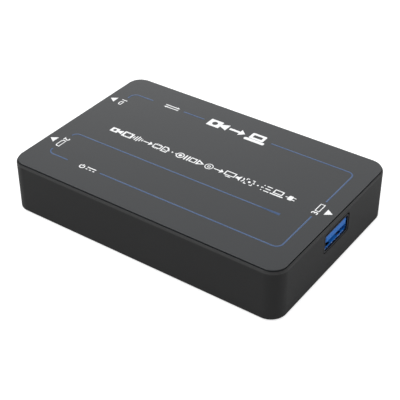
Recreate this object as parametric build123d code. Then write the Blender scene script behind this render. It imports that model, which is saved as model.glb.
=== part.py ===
"""Video capture box: a small black case with two video sockets at one end and a data socket at the other.

Millimetres. +X points to the end with the data socket, -Y to the long front side and +Z up. The origin is
the centre of the footprint, on the surface that the rubber feet stand on.
"""

from build123d import *
import os

# The case from outside
CASE_LENGTH = 92.6
CASE_WIDTH = 61.3
CASE_HEIGHT = 16.6
CORNER_RADIUS = 4.9
BOTTOM_EDGE_RADIUS = 0.3
FOOT_STANDOFF = 0.4

# Walls of the case
WALL = 1.8
FLOOR = 1.8

# The cover lies in a rebate of the case, proud of the rounded rim and with a shadow gap all round
COVER_THICKNESS = 1.6
COVER_INSET = 0.5
COVER_EDGE_RADIUS = 0.12
COVER_PROUD = 0.15
SHADOW_GAP = 0.2
REBATE_DEPTH = 0.95
RIM_RADIUS = 1.0

# Lip under the cover that drops inside the case wall
LIP_GAP = 0.15
LIP_THICKNESS = 1.0
LIP_DEPTH = 1.0

# The circuit board, whose upper face carries everything
BOARD_THICKNESS = 1.6
BOARD_GAP = 0.5

# The sockets, set behind the outer faces of the case, the data socket only just; it is also the tallest
VIDEO_SOCKET_RECESS = 0.45
DATA_SOCKET_RECESS = 0.1
SOCKET_LIP_GAP = 0.38
SHELL_SHEET = 0.3
DATA_MOUTH_HEIGHT = 5.12
DATA_SOCKET_OFFSET = 0.1

# How far a cut runs past the face that it opens
OVERRUN = 1.0

# Levels that the pieces share: the board lies a socket's height below the lip of the cover
CASE_BOTTOM = FOOT_STANDOFF
FLOOR_TOP = CASE_BOTTOM + FLOOR
COVER_TOP = CASE_BOTTOM + CASE_HEIGHT
RIM_TOP = COVER_TOP - COVER_PROUD
LEDGE = RIM_TOP - REBATE_DEPTH
COVER_BOTTOM = COVER_TOP - COVER_THICKNESS
LIP_BOTTOM = COVER_BOTTOM - LIP_DEPTH
BOARD_TOP = LIP_BOTTOM - SOCKET_LIP_GAP - DATA_MOUTH_HEIGHT - 2 * SHELL_SHEET
BOARD_BOTTOM = BOARD_TOP - BOARD_THICKNESS
BOARD_LENGTH = CASE_LENGTH - 2 * (WALL + BOARD_GAP)
BOARD_WIDTH = CASE_WIDTH - 2 * (WALL + BOARD_GAP)

UPRIGHT = (Align.CENTER, Align.CENTER, Align.MIN)


def case_outline(inset):
    """Plan of the case, a given distance inside its outer face."""
    return RectangleRounded(CASE_LENGTH - 2 * inset, CASE_WIDTH - 2 * inset, CORNER_RADIUS - inset)


def slab(outline, low, high):
    """Upright solid on a plan outline, between two levels."""
    return Pos(0, 0, low) * extrude(outline, amount=high - low)


def disc(radius, low, high):
    """Upright cylinder between two levels."""
    return Pos(0, 0, low) * Cylinder(radius, high - low, align=UPRIGHT)


def block(length, width, low, high):
    """Upright rectangular block between two levels."""
    return Pos(0, 0, low) * Box(length, width, high - low, align=UPRIGHT)


def span(x_low, x_high, width, low, high):
    """Block centred on the XZ plane, from one X to another and between two levels."""
    return Pos((x_low + x_high) / 2, 0, 0) * block(abs(x_high - x_low), width, low, high)


def strip(points, width):
    """Flat strip whose side view is the outline of the given X and Z points, centred on the XZ plane."""
    side_view = Plane.XZ * make_face(Polyline(*points, close=True))
    return extrude(side_view, amount=width / 2, both=True)


def four_corners(x, y):
    """The four places at the same distance to either side of both axes."""
    return [(side_x * x, side_y * y) for side_x in (-1, 1) for side_y in (-1, 1)]


def copies(piece, places):
    """The same piece at each of several places in plan."""
    return [Pos(x, y, 0) * piece for x, y in places]


def each_copied(pieces, places):
    """Each of several pieces at each of several places in plan."""
    return [placed for piece in pieces for placed in copies(piece, places)]


def cut(piece, tools):
    """A piece less each of several cutting solids."""
    for tool in tools:
        piece = piece - tool
    return piece


def write_node(name, pieces):
    """One STEP file that holds the solids of one node."""
    solids = [solid for piece in pieces for solid in piece.solids()]
    export_step(Compound(solids), os.path.join("parts", name + ".step"))
    print(name, len(solids))


# Screw posts, one in each corner of the case
POST_INSET = 4.7
POST_RADIUS = 2.6
POST_ABOVE_BOARD = 1.2
POST_WEB = 1.0
COVER_POST_RADIUS = 2.0
COVER_POST_GAP = 0.2
POST_TOP = BOARD_TOP + POST_ABOVE_BOARD
POST_X = CASE_LENGTH / 2 - POST_INSET
POST_Y = CASE_WIDTH / 2 - POST_INSET
POST_PLACES = four_corners(POST_X, POST_Y)

# Screws that hold the cover, driven from below
CASE_SCREW_RADIUS = 1.0
CASE_SCREW_LENGTH = 10.0
CASE_SCREW_HEAD_RADIUS = 1.8
CASE_SCREW_HEAD_HEIGHT = 1.3
CASE_SCREW_SUNK = 0.2
SCREW_GAP = 0.1
THREAD_GAP = 0.02
PILOT_SPARE = 0.5

# Rubber feet, glued in round recesses over the screw heads
FOOT_RADIUS = 3.4
FOOT_RECESS = 0.8
FOOT_GAP = 0.1
FOOT_EDGE_RADIUS = 0.25
FOOT_SEAT = CASE_BOTTOM + FOOT_RECESS
CASE_SCREW_HEAD_TOP = FOOT_SEAT + CASE_SCREW_SUNK + CASE_SCREW_HEAD_HEIGHT
CASE_SCREW_END = CASE_SCREW_HEAD_TOP + CASE_SCREW_LENGTH

# Screws that hold the board, driven from above into standoffs on the case floor
STANDOFF_RADIUS = 2.4
BOARD_SCREW_RADIUS = 1.0
BOARD_SCREW_LENGTH = 4.5
BOARD_SCREW_HEAD_RADIUS = 1.8
BOARD_SCREW_HEAD_HEIGHT = 1.2
BOARD_SCREW_EDGE = 3.4
NOTCH_GAP = 0.4
NOTCH_X = POST_X - POST_RADIUS - NOTCH_GAP
NOTCH_Y = POST_Y - POST_RADIUS - NOTCH_GAP
BOARD_SCREW_PLACES = four_corners(NOTCH_X - BOARD_SCREW_EDGE, BOARD_WIDTH / 2 - BOARD_SCREW_EDGE)

# Mouth of a video socket, a wide slot with its two lower corners cut off
VIDEO_MOUTH_WIDTH = 14.0
VIDEO_MOUTH_HEIGHT = 4.55
VIDEO_CORNER_WIDTH = 1.6
VIDEO_CORNER_HEIGHT = 1.7
VIDEO_SHELL_LENGTH = 11.5
VIDEO_POST_GAP = 1.65
VIDEO_FRONT = -(CASE_LENGTH / 2 - VIDEO_SOCKET_RECESS)
VIDEO_REAR = VIDEO_FRONT + VIDEO_SHELL_LENGTH
VIDEO_SPREAD = POST_Y - POST_RADIUS - VIDEO_POST_GAP - SHELL_SHEET - VIDEO_MOUTH_WIDTH / 2
VIDEO_PLACES = [(VIDEO_FRONT, side * VIDEO_SPREAD) for side in (1, -1)]

# Mouth of the data socket, a plain wide slot
DATA_MOUTH_WIDTH = 12.5
DATA_SHELL_LENGTH = 14.0
DATA_FRONT = CASE_LENGTH / 2 - DATA_SOCKET_RECESS
DATA_REAR = DATA_FRONT - DATA_SHELL_LENGTH

MOUTH_CORNER_RADIUS = 0.4

# Cut-outs in the case walls, larger than the socket shells all round
CUTOUT_RADIUS = 1.0
VIDEO_CUTOUT_SIDE_GAP = 0.5
VIDEO_CUTOUT_BOTTOM_GAP = 0.4
VIDEO_CUTOUT_TOP_GAP = 0.5
DATA_CUTOUT_SIDE_GAP = 0.4
DATA_CUTOUT_BOTTOM_GAP = 0.3
DATA_CUTOUT_TOP_GAP = 0.6


def socket_cutout(mouth_width, mouth_height, side_gap, bottom_gap, top_gap):
    """Rounded window for a socket whose shell stands on the board, its length along X."""
    width = mouth_width + 2 * (SHELL_SHEET + side_gap)
    low = BOARD_TOP - bottom_gap
    high = BOARD_TOP + mouth_height + 2 * SHELL_SHEET + top_gap
    window = RectangleRounded(width, high - low, CUTOUT_RADIUS)
    opening = extrude(Plane.YZ * window, amount=WALL + OVERRUN, both=True)
    return Pos(0, 0, (low + high) / 2) * opening


def lower_case():
    """Tray with a rebated rim, screw posts, board standoffs and the three socket windows."""
    tray = slab(case_outline(0), CASE_BOTTOM, RIM_TOP)
    tray = fillet(tray.faces().sort_by(Axis.Z)[0].edges(), BOTTOM_EDGE_RADIUS)
    tray = fillet(tray.faces().sort_by(Axis.Z)[-1].edges(), RIM_RADIUS)
    tray = tray - slab(case_outline(WALL), FLOOR_TOP, RIM_TOP + OVERRUN)
    tray = tray - slab(case_outline(COVER_INSET - SHADOW_GAP), LEDGE, RIM_TOP + OVERRUN)

    web_reach = POST_INSET - WALL / 2
    for x, y in POST_PLACES:
        side_x = 1 if x > 0 else -1
        side_y = 1 if y > 0 else -1
        tray = tray + Pos(x, y, 0) * disc(POST_RADIUS, FLOOR_TOP, POST_TOP)
        tray = tray + Pos(x + side_x * web_reach / 2, y, 0) * block(web_reach, POST_WEB, FLOOR_TOP, POST_TOP)
        tray = tray + Pos(x, y + side_y * web_reach / 2, 0) * block(POST_WEB, web_reach, FLOOR_TOP, POST_TOP)
    for standoff in copies(disc(STANDOFF_RADIUS, FLOOR_TOP, BOARD_BOTTOM), BOARD_SCREW_PLACES):
        tray = tray + standoff

    foot_recess = disc(FOOT_RADIUS + FOOT_GAP, CASE_BOTTOM - OVERRUN, FOOT_SEAT)
    head_recess = disc(CASE_SCREW_HEAD_RADIUS + SCREW_GAP, CASE_BOTTOM, CASE_SCREW_HEAD_TOP)
    screw_hole = disc(CASE_SCREW_RADIUS + SCREW_GAP, CASE_BOTTOM, POST_TOP + OVERRUN)
    pilot_low = BOARD_TOP - BOARD_SCREW_LENGTH - PILOT_SPARE
    pilot = disc(BOARD_SCREW_RADIUS + THREAD_GAP, pilot_low, BOARD_BOTTOM + OVERRUN)
    for hole in (foot_recess, head_recess, screw_hole):
        tray = cut(tray, copies(hole, POST_PLACES))
    tray = cut(tray, copies(pilot, BOARD_SCREW_PLACES))

    video_window = socket_cutout(
        VIDEO_MOUTH_WIDTH, VIDEO_MOUTH_HEIGHT,
        VIDEO_CUTOUT_SIDE_GAP, VIDEO_CUTOUT_BOTTOM_GAP, VIDEO_CUTOUT_TOP_GAP,
    )
    data_window = socket_cutout(
        DATA_MOUTH_WIDTH, DATA_MOUTH_HEIGHT,
        DATA_CUTOUT_SIDE_GAP, DATA_CUTOUT_BOTTOM_GAP, DATA_CUTOUT_TOP_GAP,
    )
    data_windows = copies(data_window, [(DATA_FRONT, DATA_SOCKET_OFFSET)])
    return cut(tray, copies(video_window, VIDEO_PLACES) + data_windows)


# Lamps on the board and the clear rods that lead their light up to thin spots in the cover
LAMP_SOCKET_GAP = 2.25
LAMP_INSET = 10.0
LAMP_LENGTH = 1.6
LAMP_WIDTH = 0.8
LAMP_HEIGHT = 0.6
GUIDE_RADIUS = 1.2
GUIDE_FLANGE_RADIUS = 1.7
GUIDE_FLANGE_HEIGHT = 0.6
GUIDE_GAP = 0.05
GUIDE_LAMP_GAP = 0.4
WINDOW_THICKNESS = 0.5
HOLDER_WALL = 0.9
HOLDER_DEPTH = 3.0
LAMP_X = VIDEO_REAR + LAMP_SOCKET_GAP + GUIDE_FLANGE_RADIUS
LAMP_Y = CASE_WIDTH / 2 - LAMP_INSET
GUIDE_TOP = COVER_TOP - WINDOW_THICKNESS
HOLDER_BOTTOM = COVER_BOTTOM - HOLDER_DEPTH


def top_cover():
    """Flat cover that lies on the ledge of the case, with a lip, screw posts and holders below."""
    cover = slab(case_outline(COVER_INSET), LEDGE, COVER_TOP)
    cover = fillet(cover.faces().sort_by(Axis.Z)[-1].edges(), COVER_EDGE_RADIUS)
    inner_face = WALL + LIP_GAP
    cover = cover + slab(case_outline(inner_face), COVER_BOTTOM, LEDGE)
    lip = slab(case_outline(inner_face), LIP_BOTTOM, COVER_BOTTOM)
    lip = lip - slab(case_outline(inner_face + LIP_THICKNESS), LIP_BOTTOM - OVERRUN, COVER_BOTTOM)
    cover = cover + lip

    post = disc(COVER_POST_RADIUS, POST_TOP + COVER_POST_GAP, COVER_BOTTOM)
    pilot = disc(CASE_SCREW_RADIUS + THREAD_GAP, POST_TOP, CASE_SCREW_END + PILOT_SPARE)
    holder = disc(GUIDE_RADIUS + GUIDE_GAP + HOLDER_WALL, HOLDER_BOTTOM, COVER_BOTTOM)
    well = disc(GUIDE_RADIUS + GUIDE_GAP, HOLDER_BOTTOM - OVERRUN, GUIDE_TOP)
    lamp_places = [(LAMP_X, LAMP_Y), (LAMP_X, -LAMP_Y)]
    for added in copies(post, POST_PLACES) + copies(holder, lamp_places):
        cover = cover + added
    return cut(cover, copies(pilot, POST_PLACES) + copies(well, lamp_places))


# Cross recess and rounded edge of the screw heads, as shares of the head
CROSS_LENGTH_SHARE = 0.6
CROSS_WIDTH_SHARE = 0.16
CROSS_DEPTH_SHARE = 0.55
HEAD_ROUND_SHARE = 0.45
TIP_SHARE = 0.4


def pan_screw(head_radius, head_height, radius, length):
    """Screw that points up: its head hangs below level zero and its shaft stands above it."""
    head = disc(head_radius, -head_height, 0)
    head = fillet(head.edges().group_by(Axis.Z)[0], HEAD_ROUND_SHARE * head_height)
    cross_length = 2 * head_radius * CROSS_LENGTH_SHARE
    cross_width = 2 * head_radius * CROSS_WIDTH_SHARE
    cross_top = -head_height * (1 - CROSS_DEPTH_SHARE)
    for length_x, length_y in ((cross_length, cross_width), (cross_width, cross_length)):
        head = head - block(length_x, length_y, -head_height - OVERRUN, cross_top)
    shaft = disc(radius, 0, length)
    shaft = chamfer(shaft.edges().group_by(Axis.Z)[-1], TIP_SHARE * radius)
    return head + shaft


def case_screws():
    """Four screws from below, through the case posts into the cover posts."""
    screw = pan_screw(
        CASE_SCREW_HEAD_RADIUS, CASE_SCREW_HEAD_HEIGHT, CASE_SCREW_RADIUS, CASE_SCREW_LENGTH
    )
    return copies(Pos(0, 0, CASE_SCREW_HEAD_TOP) * screw, POST_PLACES)


def board_screws():
    """Four screws from above, through the board into the standoffs."""
    screw = pan_screw(
        BOARD_SCREW_HEAD_RADIUS, BOARD_SCREW_HEAD_HEIGHT, BOARD_SCREW_RADIUS, BOARD_SCREW_LENGTH
    )
    return copies(Pos(0, 0, BOARD_TOP) * Rot(180, 0, 0) * screw, BOARD_SCREW_PLACES)


def rubber_feet():
    """Four round pads that stand a little below the case."""
    pad = disc(FOOT_RADIUS, 0, FOOT_SEAT)
    pad = fillet(pad.edges().group_by(Axis.Z)[0], FOOT_EDGE_RADIUS)
    return copies(pad, POST_PLACES)


# Legs of the socket shells, pushed through slots in the board
LEG_WIDTH = 1.5
LEG_BELOW_BOARD = 1.0
LEG_GAP = 0.15
FRONT_LEG_INSET = 3.6
REAR_LEG_INSET = 1.6

# Spring fingers pressed out of the roof and the floor of the shells
FINGER_WIDTH = 1.6
FINGER_LENGTH = 3.6
FINGER_START = 0.8
FINGER_DIP = 0.35
FINGER_SLOT = 0.3
FINGER_SPREAD_SHARE = 0.25
FINGER_TIP = -FINGER_START - FINGER_LENGTH

# Space beside the rows of contacts, in the floor opening of a shell over which they turn down
CONTACT_ROW_GAP = 0.5

# Tails of the contacts, which pass down through the board
TAIL_BELOW_BOARD = 0.8
TAIL_THICKNESS = 0.25
TAIL_HOLE_GAP = 0.12
TONGUE_TIP_CHAMFER = 0.15


def video_mouth():
    """Mouth of a video socket from the front, standing on the inner face of the shell's floor."""
    half = VIDEO_MOUTH_WIDTH / 2
    corners = [
        (-half, VIDEO_MOUTH_HEIGHT),
        (-half, VIDEO_CORNER_HEIGHT),
        (-half + VIDEO_CORNER_WIDTH, 0),
        (half - VIDEO_CORNER_WIDTH, 0),
        (half, VIDEO_CORNER_HEIGHT),
        (half, VIDEO_MOUTH_HEIGHT),
    ]
    outline = make_face(Polyline(*corners, close=True))
    return Pos(0, SHELL_SHEET) * fillet(outline.vertices(), MOUTH_CORNER_RADIUS)


def data_mouth():
    """Mouth of the data socket from the front, standing on the inner face of the shell's floor."""
    outline = RectangleRounded(DATA_MOUTH_WIDTH, DATA_MOUTH_HEIGHT, MOUTH_CORNER_RADIUS)
    return Pos(0, SHELL_SHEET + DATA_MOUTH_HEIGHT / 2) * outline


def leg_places(mouth_width, length):
    """Middle of each leg in plan, from the middle of a mouth that faces +X."""
    side = (mouth_width + SHELL_SHEET) / 2
    return [(x, y) for x in (-FRONT_LEG_INSET, REAR_LEG_INSET - length) for y in (-side, side)]


def finger_windows(mouth_width, low, high):
    """Openings round the two spring fingers of one wall of a shell, between two levels."""
    window = span(-FINGER_START, FINGER_TIP - FINGER_SLOT, FINGER_WIDTH + 2 * FINGER_SLOT, low, high)
    return [Pos(0, side * FINGER_SPREAD_SHARE * mouth_width, 0) * window for side in (-1, 1)]


def socket_shell(mouth, mouth_width, mouth_height, length, block_length, contact_span):
    """Folded sheet shell whose mouth faces +X at X zero and whose floor lies on level zero."""
    shell = extrude(Plane.YZ * offset(mouth, amount=SHELL_SHEET), amount=-length)
    shell = shell - extrude(Plane.YZ * mouth, amount=SHELL_SHEET - length)
    opening_width = contact_span + 2 * CONTACT_ROW_GAP
    rear = SHELL_SHEET - length
    shell = shell - span(rear, block_length - length, opening_width, -SHELL_SHEET, SHELL_SHEET)

    roof = mouth_height + 2 * SHELL_SHEET
    roof_view = [
        (-FINGER_START, roof),
        (-FINGER_START, roof - SHELL_SHEET),
        (FINGER_TIP, roof - SHELL_SHEET - FINGER_DIP),
        (FINGER_TIP, roof - FINGER_DIP),
    ]
    floor_view = [
        (-FINGER_START, 0),
        (-FINGER_START, SHELL_SHEET),
        (FINGER_TIP, SHELL_SHEET + FINGER_DIP),
        (FINGER_TIP, FINGER_DIP),
    ]
    roof_finger = strip(roof_view, FINGER_WIDTH)
    floor_finger = strip(floor_view, FINGER_WIDTH)
    shell = cut(shell, finger_windows(mouth_width, -SHELL_SHEET, SHELL_SHEET))
    shell = cut(shell, finger_windows(mouth_width, roof - SHELL_SHEET, roof + SHELL_SHEET))
    for side in (-1, 1):
        shift = Pos(0, side * FINGER_SPREAD_SHARE * mouth_width, 0)
        shell = shell + shift * floor_finger
        shell = shell + shift * roof_finger

    leg_low = -BOARD_THICKNESS - LEG_BELOW_BOARD
    leg = block(LEG_WIDTH, SHELL_SHEET, leg_low, roof / 2)
    for placed in copies(leg, leg_places(mouth_width, length)):
        shell = shell + placed
    return shell


def socket_body(mouth, length, block_length, tongue_recess, tongue_width, tongue_low, tongue_high, contacts):
    """Plastic insert: a rear block that fills the shell, and the tongue that carries the contacts."""
    rear = SHELL_SHEET - length
    front = block_length - length
    insert = Pos(rear, 0, 0) * extrude(Plane.YZ * mouth, amount=front - rear)
    tongue = span(front, -tongue_recess, tongue_width, tongue_low, tongue_high)
    tongue = chamfer(tongue.faces().sort_by(Axis.X)[-1].edges(), TONGUE_TIP_CHAMFER)
    return cut(insert + tongue, contacts)


# Tongue and contacts of a video socket
VIDEO_BLOCK_LENGTH = 4.0
VIDEO_TONGUE_SIDE_GAP = 1.8
VIDEO_TONGUE_THICKNESS = 1.1
VIDEO_TONGUE_RECESS = 1.9
VIDEO_CONTACT_WIDTH = 0.35
VIDEO_CONTACT_THICKNESS = 0.15
VIDEO_CONTACT_PROUD = 0.05
VIDEO_CONTACT_PITCH = 1.0
VIDEO_CONTACT_INSET = 0.5
VIDEO_UPPER_CONTACTS = 10
VIDEO_LOWER_CONTACTS = 9
VIDEO_UPPER_TAIL_INSET = 1.2
VIDEO_LOWER_TAIL_INSET = 2.6
VIDEO_TONGUE_LOW = SHELL_SHEET + (VIDEO_MOUTH_HEIGHT - VIDEO_TONGUE_THICKNESS) / 2
VIDEO_TONGUE_HIGH = VIDEO_TONGUE_LOW + VIDEO_TONGUE_THICKNESS
VIDEO_TONGUE_WIDTH = VIDEO_MOUTH_WIDTH - 2 * VIDEO_TONGUE_SIDE_GAP
VIDEO_CONTACT_SPAN = (VIDEO_UPPER_CONTACTS - 1) * VIDEO_CONTACT_PITCH + VIDEO_CONTACT_WIDTH


def row_places(count, pitch):
    """Evenly spaced places along Y, centred on zero."""
    return [(index - (count - 1) / 2) * pitch for index in range(count)]


def angled_contact(front, tail_x, low, high, width):
    """Contact that runs back along the tongue and turns down through the board."""
    along = span(tail_x, front, width, low, high)
    tail_low = -BOARD_THICKNESS - TAIL_BELOW_BOARD
    down = span(tail_x, tail_x + TAIL_THICKNESS, width, tail_low, high)
    return along + down


def video_contacts():
    """Upper and lower rows of contacts of a video socket, in the socket's own frame."""
    front = -VIDEO_TONGUE_RECESS - VIDEO_CONTACT_INSET
    upper_high = VIDEO_TONGUE_HIGH + VIDEO_CONTACT_PROUD
    lower_low = VIDEO_TONGUE_LOW - VIDEO_CONTACT_PROUD
    upper_tail = VIDEO_UPPER_TAIL_INSET - VIDEO_SHELL_LENGTH
    lower_tail = VIDEO_LOWER_TAIL_INSET - VIDEO_SHELL_LENGTH
    upper_low = upper_high - VIDEO_CONTACT_THICKNESS
    lower_high = lower_low + VIDEO_CONTACT_THICKNESS
    upper = angled_contact(front, upper_tail, upper_low, upper_high, VIDEO_CONTACT_WIDTH)
    lower = angled_contact(front, lower_tail, lower_low, lower_high, VIDEO_CONTACT_WIDTH)
    upper_row = [Pos(0, y, 0) * upper for y in row_places(VIDEO_UPPER_CONTACTS, VIDEO_CONTACT_PITCH)]
    lower_row = [Pos(0, y, 0) * lower for y in row_places(VIDEO_LOWER_CONTACTS, VIDEO_CONTACT_PITCH)]
    return upper_row + lower_row


def video_tail_places():
    """Middle of each contact's tail in plan, in the socket's own frame."""
    middle = TAIL_THICKNESS / 2 - VIDEO_SHELL_LENGTH
    upper_row = row_places(VIDEO_UPPER_CONTACTS, VIDEO_CONTACT_PITCH)
    lower_row = row_places(VIDEO_LOWER_CONTACTS, VIDEO_CONTACT_PITCH)
    upper = [(VIDEO_UPPER_TAIL_INSET + middle, y) for y in upper_row]
    return upper + [(VIDEO_LOWER_TAIL_INSET + middle, y) for y in lower_row]


def video_socket(place):
    """Shell, body and contacts of a video socket whose mouth faces -X."""
    seat = Pos(place[0], place[1], BOARD_TOP) * Rot(0, 0, 180)
    mouth = video_mouth()
    contacts = video_contacts()
    shell = socket_shell(
        mouth, VIDEO_MOUTH_WIDTH, VIDEO_MOUTH_HEIGHT, VIDEO_SHELL_LENGTH, VIDEO_BLOCK_LENGTH,
        VIDEO_CONTACT_SPAN,
    )
    body = socket_body(
        mouth, VIDEO_SHELL_LENGTH, VIDEO_BLOCK_LENGTH, VIDEO_TONGUE_RECESS, VIDEO_TONGUE_WIDTH,
        VIDEO_TONGUE_LOW, VIDEO_TONGUE_HIGH, contacts,
    )
    return [seat * shell], [seat * body], [seat * contact for contact in contacts]


# Tongue and contacts of the data socket
DATA_BLOCK_LENGTH = 4.6
DATA_TONGUE_SIDE_GAP = 0.7
DATA_TONGUE_THICKNESS = 1.84
DATA_TONGUE_TOP_GAP = 0.67
DATA_TONGUE_RECESS = 0.15
DATA_TONGUE_HIGH = SHELL_SHEET + DATA_MOUTH_HEIGHT - DATA_TONGUE_TOP_GAP
DATA_TONGUE_LOW = DATA_TONGUE_HIGH - DATA_TONGUE_THICKNESS
DATA_TONGUE_WIDTH = DATA_MOUTH_WIDTH - 2 * DATA_TONGUE_SIDE_GAP

# Thin lining of the data socket's floor and sides, one piece with its plastic insert
LINING_FLOOR = 0.3
LINING_SIDE = 0.2
LINING_RECESS = 0.6

# Four spring contacts that hang below the tongue
SPRING_CONTACT_WIDTH = 1.0
SPRING_CONTACT_THICKNESS = 0.2
SPRING_CONTACT_INNER = 1.0
SPRING_CONTACT_OUTER = 3.5
SPRING_CONTACT_REACH = 4.2
SPRING_CONTACT_BEND = 3.1
SPRING_CONTACT_DIP = 0.55
SPRING_TAIL_INSET = 2.8
SPRING_PLACES = [-SPRING_CONTACT_OUTER, -SPRING_CONTACT_INNER, SPRING_CONTACT_INNER, SPRING_CONTACT_OUTER]

# Five flat contacts near the tip of the tongue
FLAT_CONTACT_WIDTH = 0.7
FLAT_CONTACT_COUNT = 5
FLAT_CONTACT_PITCH = 2.0
FLAT_CONTACT_INSET = 0.5
FLAT_CONTACT_LENGTH = 2.4
FLAT_CONTACT_PROUD = 0.06
FLAT_CONTACT_DEPTH = 0.3
FLAT_CONTACT_THICKNESS = 0.2
FLAT_TAIL_INSET = 1.2
FLAT_CONTACT_SPAN = (FLAT_CONTACT_COUNT - 1) * FLAT_CONTACT_PITCH + FLAT_CONTACT_WIDTH
DATA_CONTACT_SPAN = max(FLAT_CONTACT_SPAN, 2 * SPRING_CONTACT_OUTER + SPRING_CONTACT_WIDTH)


def spring_contacts():
    """The four spring contacts of the data socket, in the socket's own frame."""
    root = DATA_BLOCK_LENGTH - DATA_SHELL_LENGTH
    bend = root + SPRING_CONTACT_BEND
    tip = root + SPRING_CONTACT_REACH
    tail = SPRING_TAIL_INSET - DATA_SHELL_LENGTH
    high = DATA_TONGUE_LOW
    low = high - SPRING_CONTACT_THICKNESS
    side_view = [
        (root, high),
        (root, low),
        (bend, low - SPRING_CONTACT_DIP),
        (tip, low),
        (tip, high),
        (bend, high - SPRING_CONTACT_DIP),
    ]
    contact = strip(side_view, SPRING_CONTACT_WIDTH)
    contact = contact + angled_contact(root, tail, low, high, SPRING_CONTACT_WIDTH)
    return [Pos(0, y, 0) * contact for y in SPRING_PLACES]


def flat_contacts():
    """The five flat contacts of the data socket, in the socket's own frame."""
    front = -DATA_TONGUE_RECESS - FLAT_CONTACT_INSET
    low = DATA_TONGUE_LOW + FLAT_CONTACT_DEPTH
    high = low + FLAT_CONTACT_THICKNESS
    pad_end = front - FLAT_CONTACT_LENGTH
    pad = span(pad_end, front, FLAT_CONTACT_WIDTH, DATA_TONGUE_LOW - FLAT_CONTACT_PROUD, high)
    tail = FLAT_TAIL_INSET - DATA_SHELL_LENGTH
    contact = pad + angled_contact(pad_end, tail, low, high, FLAT_CONTACT_WIDTH)
    return [Pos(0, y, 0) * contact for y in row_places(FLAT_CONTACT_COUNT, FLAT_CONTACT_PITCH)]


def data_lining(mouth):
    """Lining of the floor and the sides of the data socket, with windows for the spring fingers."""
    front = DATA_BLOCK_LENGTH - DATA_SHELL_LENGTH
    lining = Pos(front, 0, 0) * extrude(Plane.YZ * mouth, amount=-LINING_RECESS - front)
    level = SHELL_SHEET + LINING_FLOOR
    space = DATA_MOUTH_WIDTH - 2 * LINING_SIDE
    lining = lining - span(front, 0, space, level, level + DATA_MOUTH_HEIGHT)
    return cut(lining, finger_windows(DATA_MOUTH_WIDTH, 0, level + OVERRUN))


def data_tail_places():
    """Middle of each contact's tail in plan, in the socket's own frame."""
    middle = TAIL_THICKNESS / 2 - DATA_SHELL_LENGTH
    flat_row = row_places(FLAT_CONTACT_COUNT, FLAT_CONTACT_PITCH)
    springs = [(SPRING_TAIL_INSET + middle, y) for y in SPRING_PLACES]
    return springs + [(FLAT_TAIL_INSET + middle, y) for y in flat_row]


def data_socket():
    """Shell, body, spring contacts and flat contacts of the data socket, whose mouth faces +X."""
    seat = Pos(DATA_FRONT, DATA_SOCKET_OFFSET, BOARD_TOP)
    mouth = data_mouth()
    springs = spring_contacts()
    flats = flat_contacts()
    shell = socket_shell(
        mouth, DATA_MOUTH_WIDTH, DATA_MOUTH_HEIGHT, DATA_SHELL_LENGTH, DATA_BLOCK_LENGTH, DATA_CONTACT_SPAN
    )
    body = socket_body(
        mouth, DATA_SHELL_LENGTH, DATA_BLOCK_LENGTH, DATA_TONGUE_RECESS, DATA_TONGUE_WIDTH,
        DATA_TONGUE_LOW, DATA_TONGUE_HIGH, springs + flats,
    )
    body = body + data_lining(mouth)
    placed_springs = [seat * contact for contact in springs]
    placed_flats = [seat * contact for contact in flats]
    return [seat * shell], [seat * body], placed_springs, placed_flats


BOARD_CORNER_RADIUS = 1.0


def socket_board_cuts(seat, mouth_width, length, tail_places, tail_width):
    """Slots for the shell legs and holes for the contact tails of one socket."""
    low = BOARD_BOTTOM - OVERRUN
    high = BOARD_TOP + OVERRUN
    slot = block(LEG_WIDTH + 2 * LEG_GAP, SHELL_SHEET + 2 * LEG_GAP, low, high)
    hole = block(TAIL_THICKNESS + 2 * TAIL_HOLE_GAP, tail_width + 2 * TAIL_HOLE_GAP, low, high)
    cuts = copies(slot, leg_places(mouth_width, length)) + copies(hole, tail_places)
    return [seat * item for item in cuts]


def circuit_board():
    """Board notched round the screw posts, with its screw holes, leg slots and contact holes."""
    outline = Rectangle(BOARD_LENGTH, 2 * NOTCH_Y) + Rectangle(2 * NOTCH_X, BOARD_WIDTH)
    board = slab(fillet(outline.vertices(), BOARD_CORNER_RADIUS), BOARD_BOTTOM, BOARD_TOP)
    screw_hole = disc(BOARD_SCREW_RADIUS + SCREW_GAP, BOARD_BOTTOM - OVERRUN, BOARD_TOP + OVERRUN)
    cuts = copies(screw_hole, BOARD_SCREW_PLACES)
    for x, y in VIDEO_PLACES:
        seat = Pos(x, y, 0) * Rot(0, 0, 180)
        cuts += socket_board_cuts(
            seat, VIDEO_MOUTH_WIDTH, VIDEO_SHELL_LENGTH, video_tail_places(), VIDEO_CONTACT_WIDTH
        )
    seat = Pos(DATA_FRONT, DATA_SOCKET_OFFSET, 0)
    cuts += socket_board_cuts(
        seat, DATA_MOUTH_WIDTH, DATA_SHELL_LENGTH, data_tail_places(), SPRING_CONTACT_WIDTH
    )
    return cut(board, cuts)


# The capture chip, the soft pad on it and the finned heat sink
CAPTURE_CHIP_SIZE = 10.0
CAPTURE_CHIP_HEIGHT = 0.9
HEAT_PAD_SIZE = 9.0
HEAT_PAD_HEIGHT = 0.5
HEAT_SINK_SIZE = 16.0
HEAT_SINK_BASE = 1.2
HEAT_SINK_FIN_HEIGHT = 3.2
HEAT_SINK_FIN_THICKNESS = 1.0
HEAT_SINK_FIN_COUNT = 6
CHIP_EDGE_CHAMFER = 0.12
CHIP_TOP = BOARD_TOP + CAPTURE_CHIP_HEIGHT
HEAT_PAD_TOP = CHIP_TOP + HEAT_PAD_HEIGHT


def flat_chip(length, width, height):
    """Flat leadless chip that lies on the board, with its upper edges broken."""
    chip = block(length, width, BOARD_TOP, BOARD_TOP + height)
    return chamfer(chip.faces().sort_by(Axis.Z)[-1].edges(), CHIP_EDGE_CHAMFER)


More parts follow.
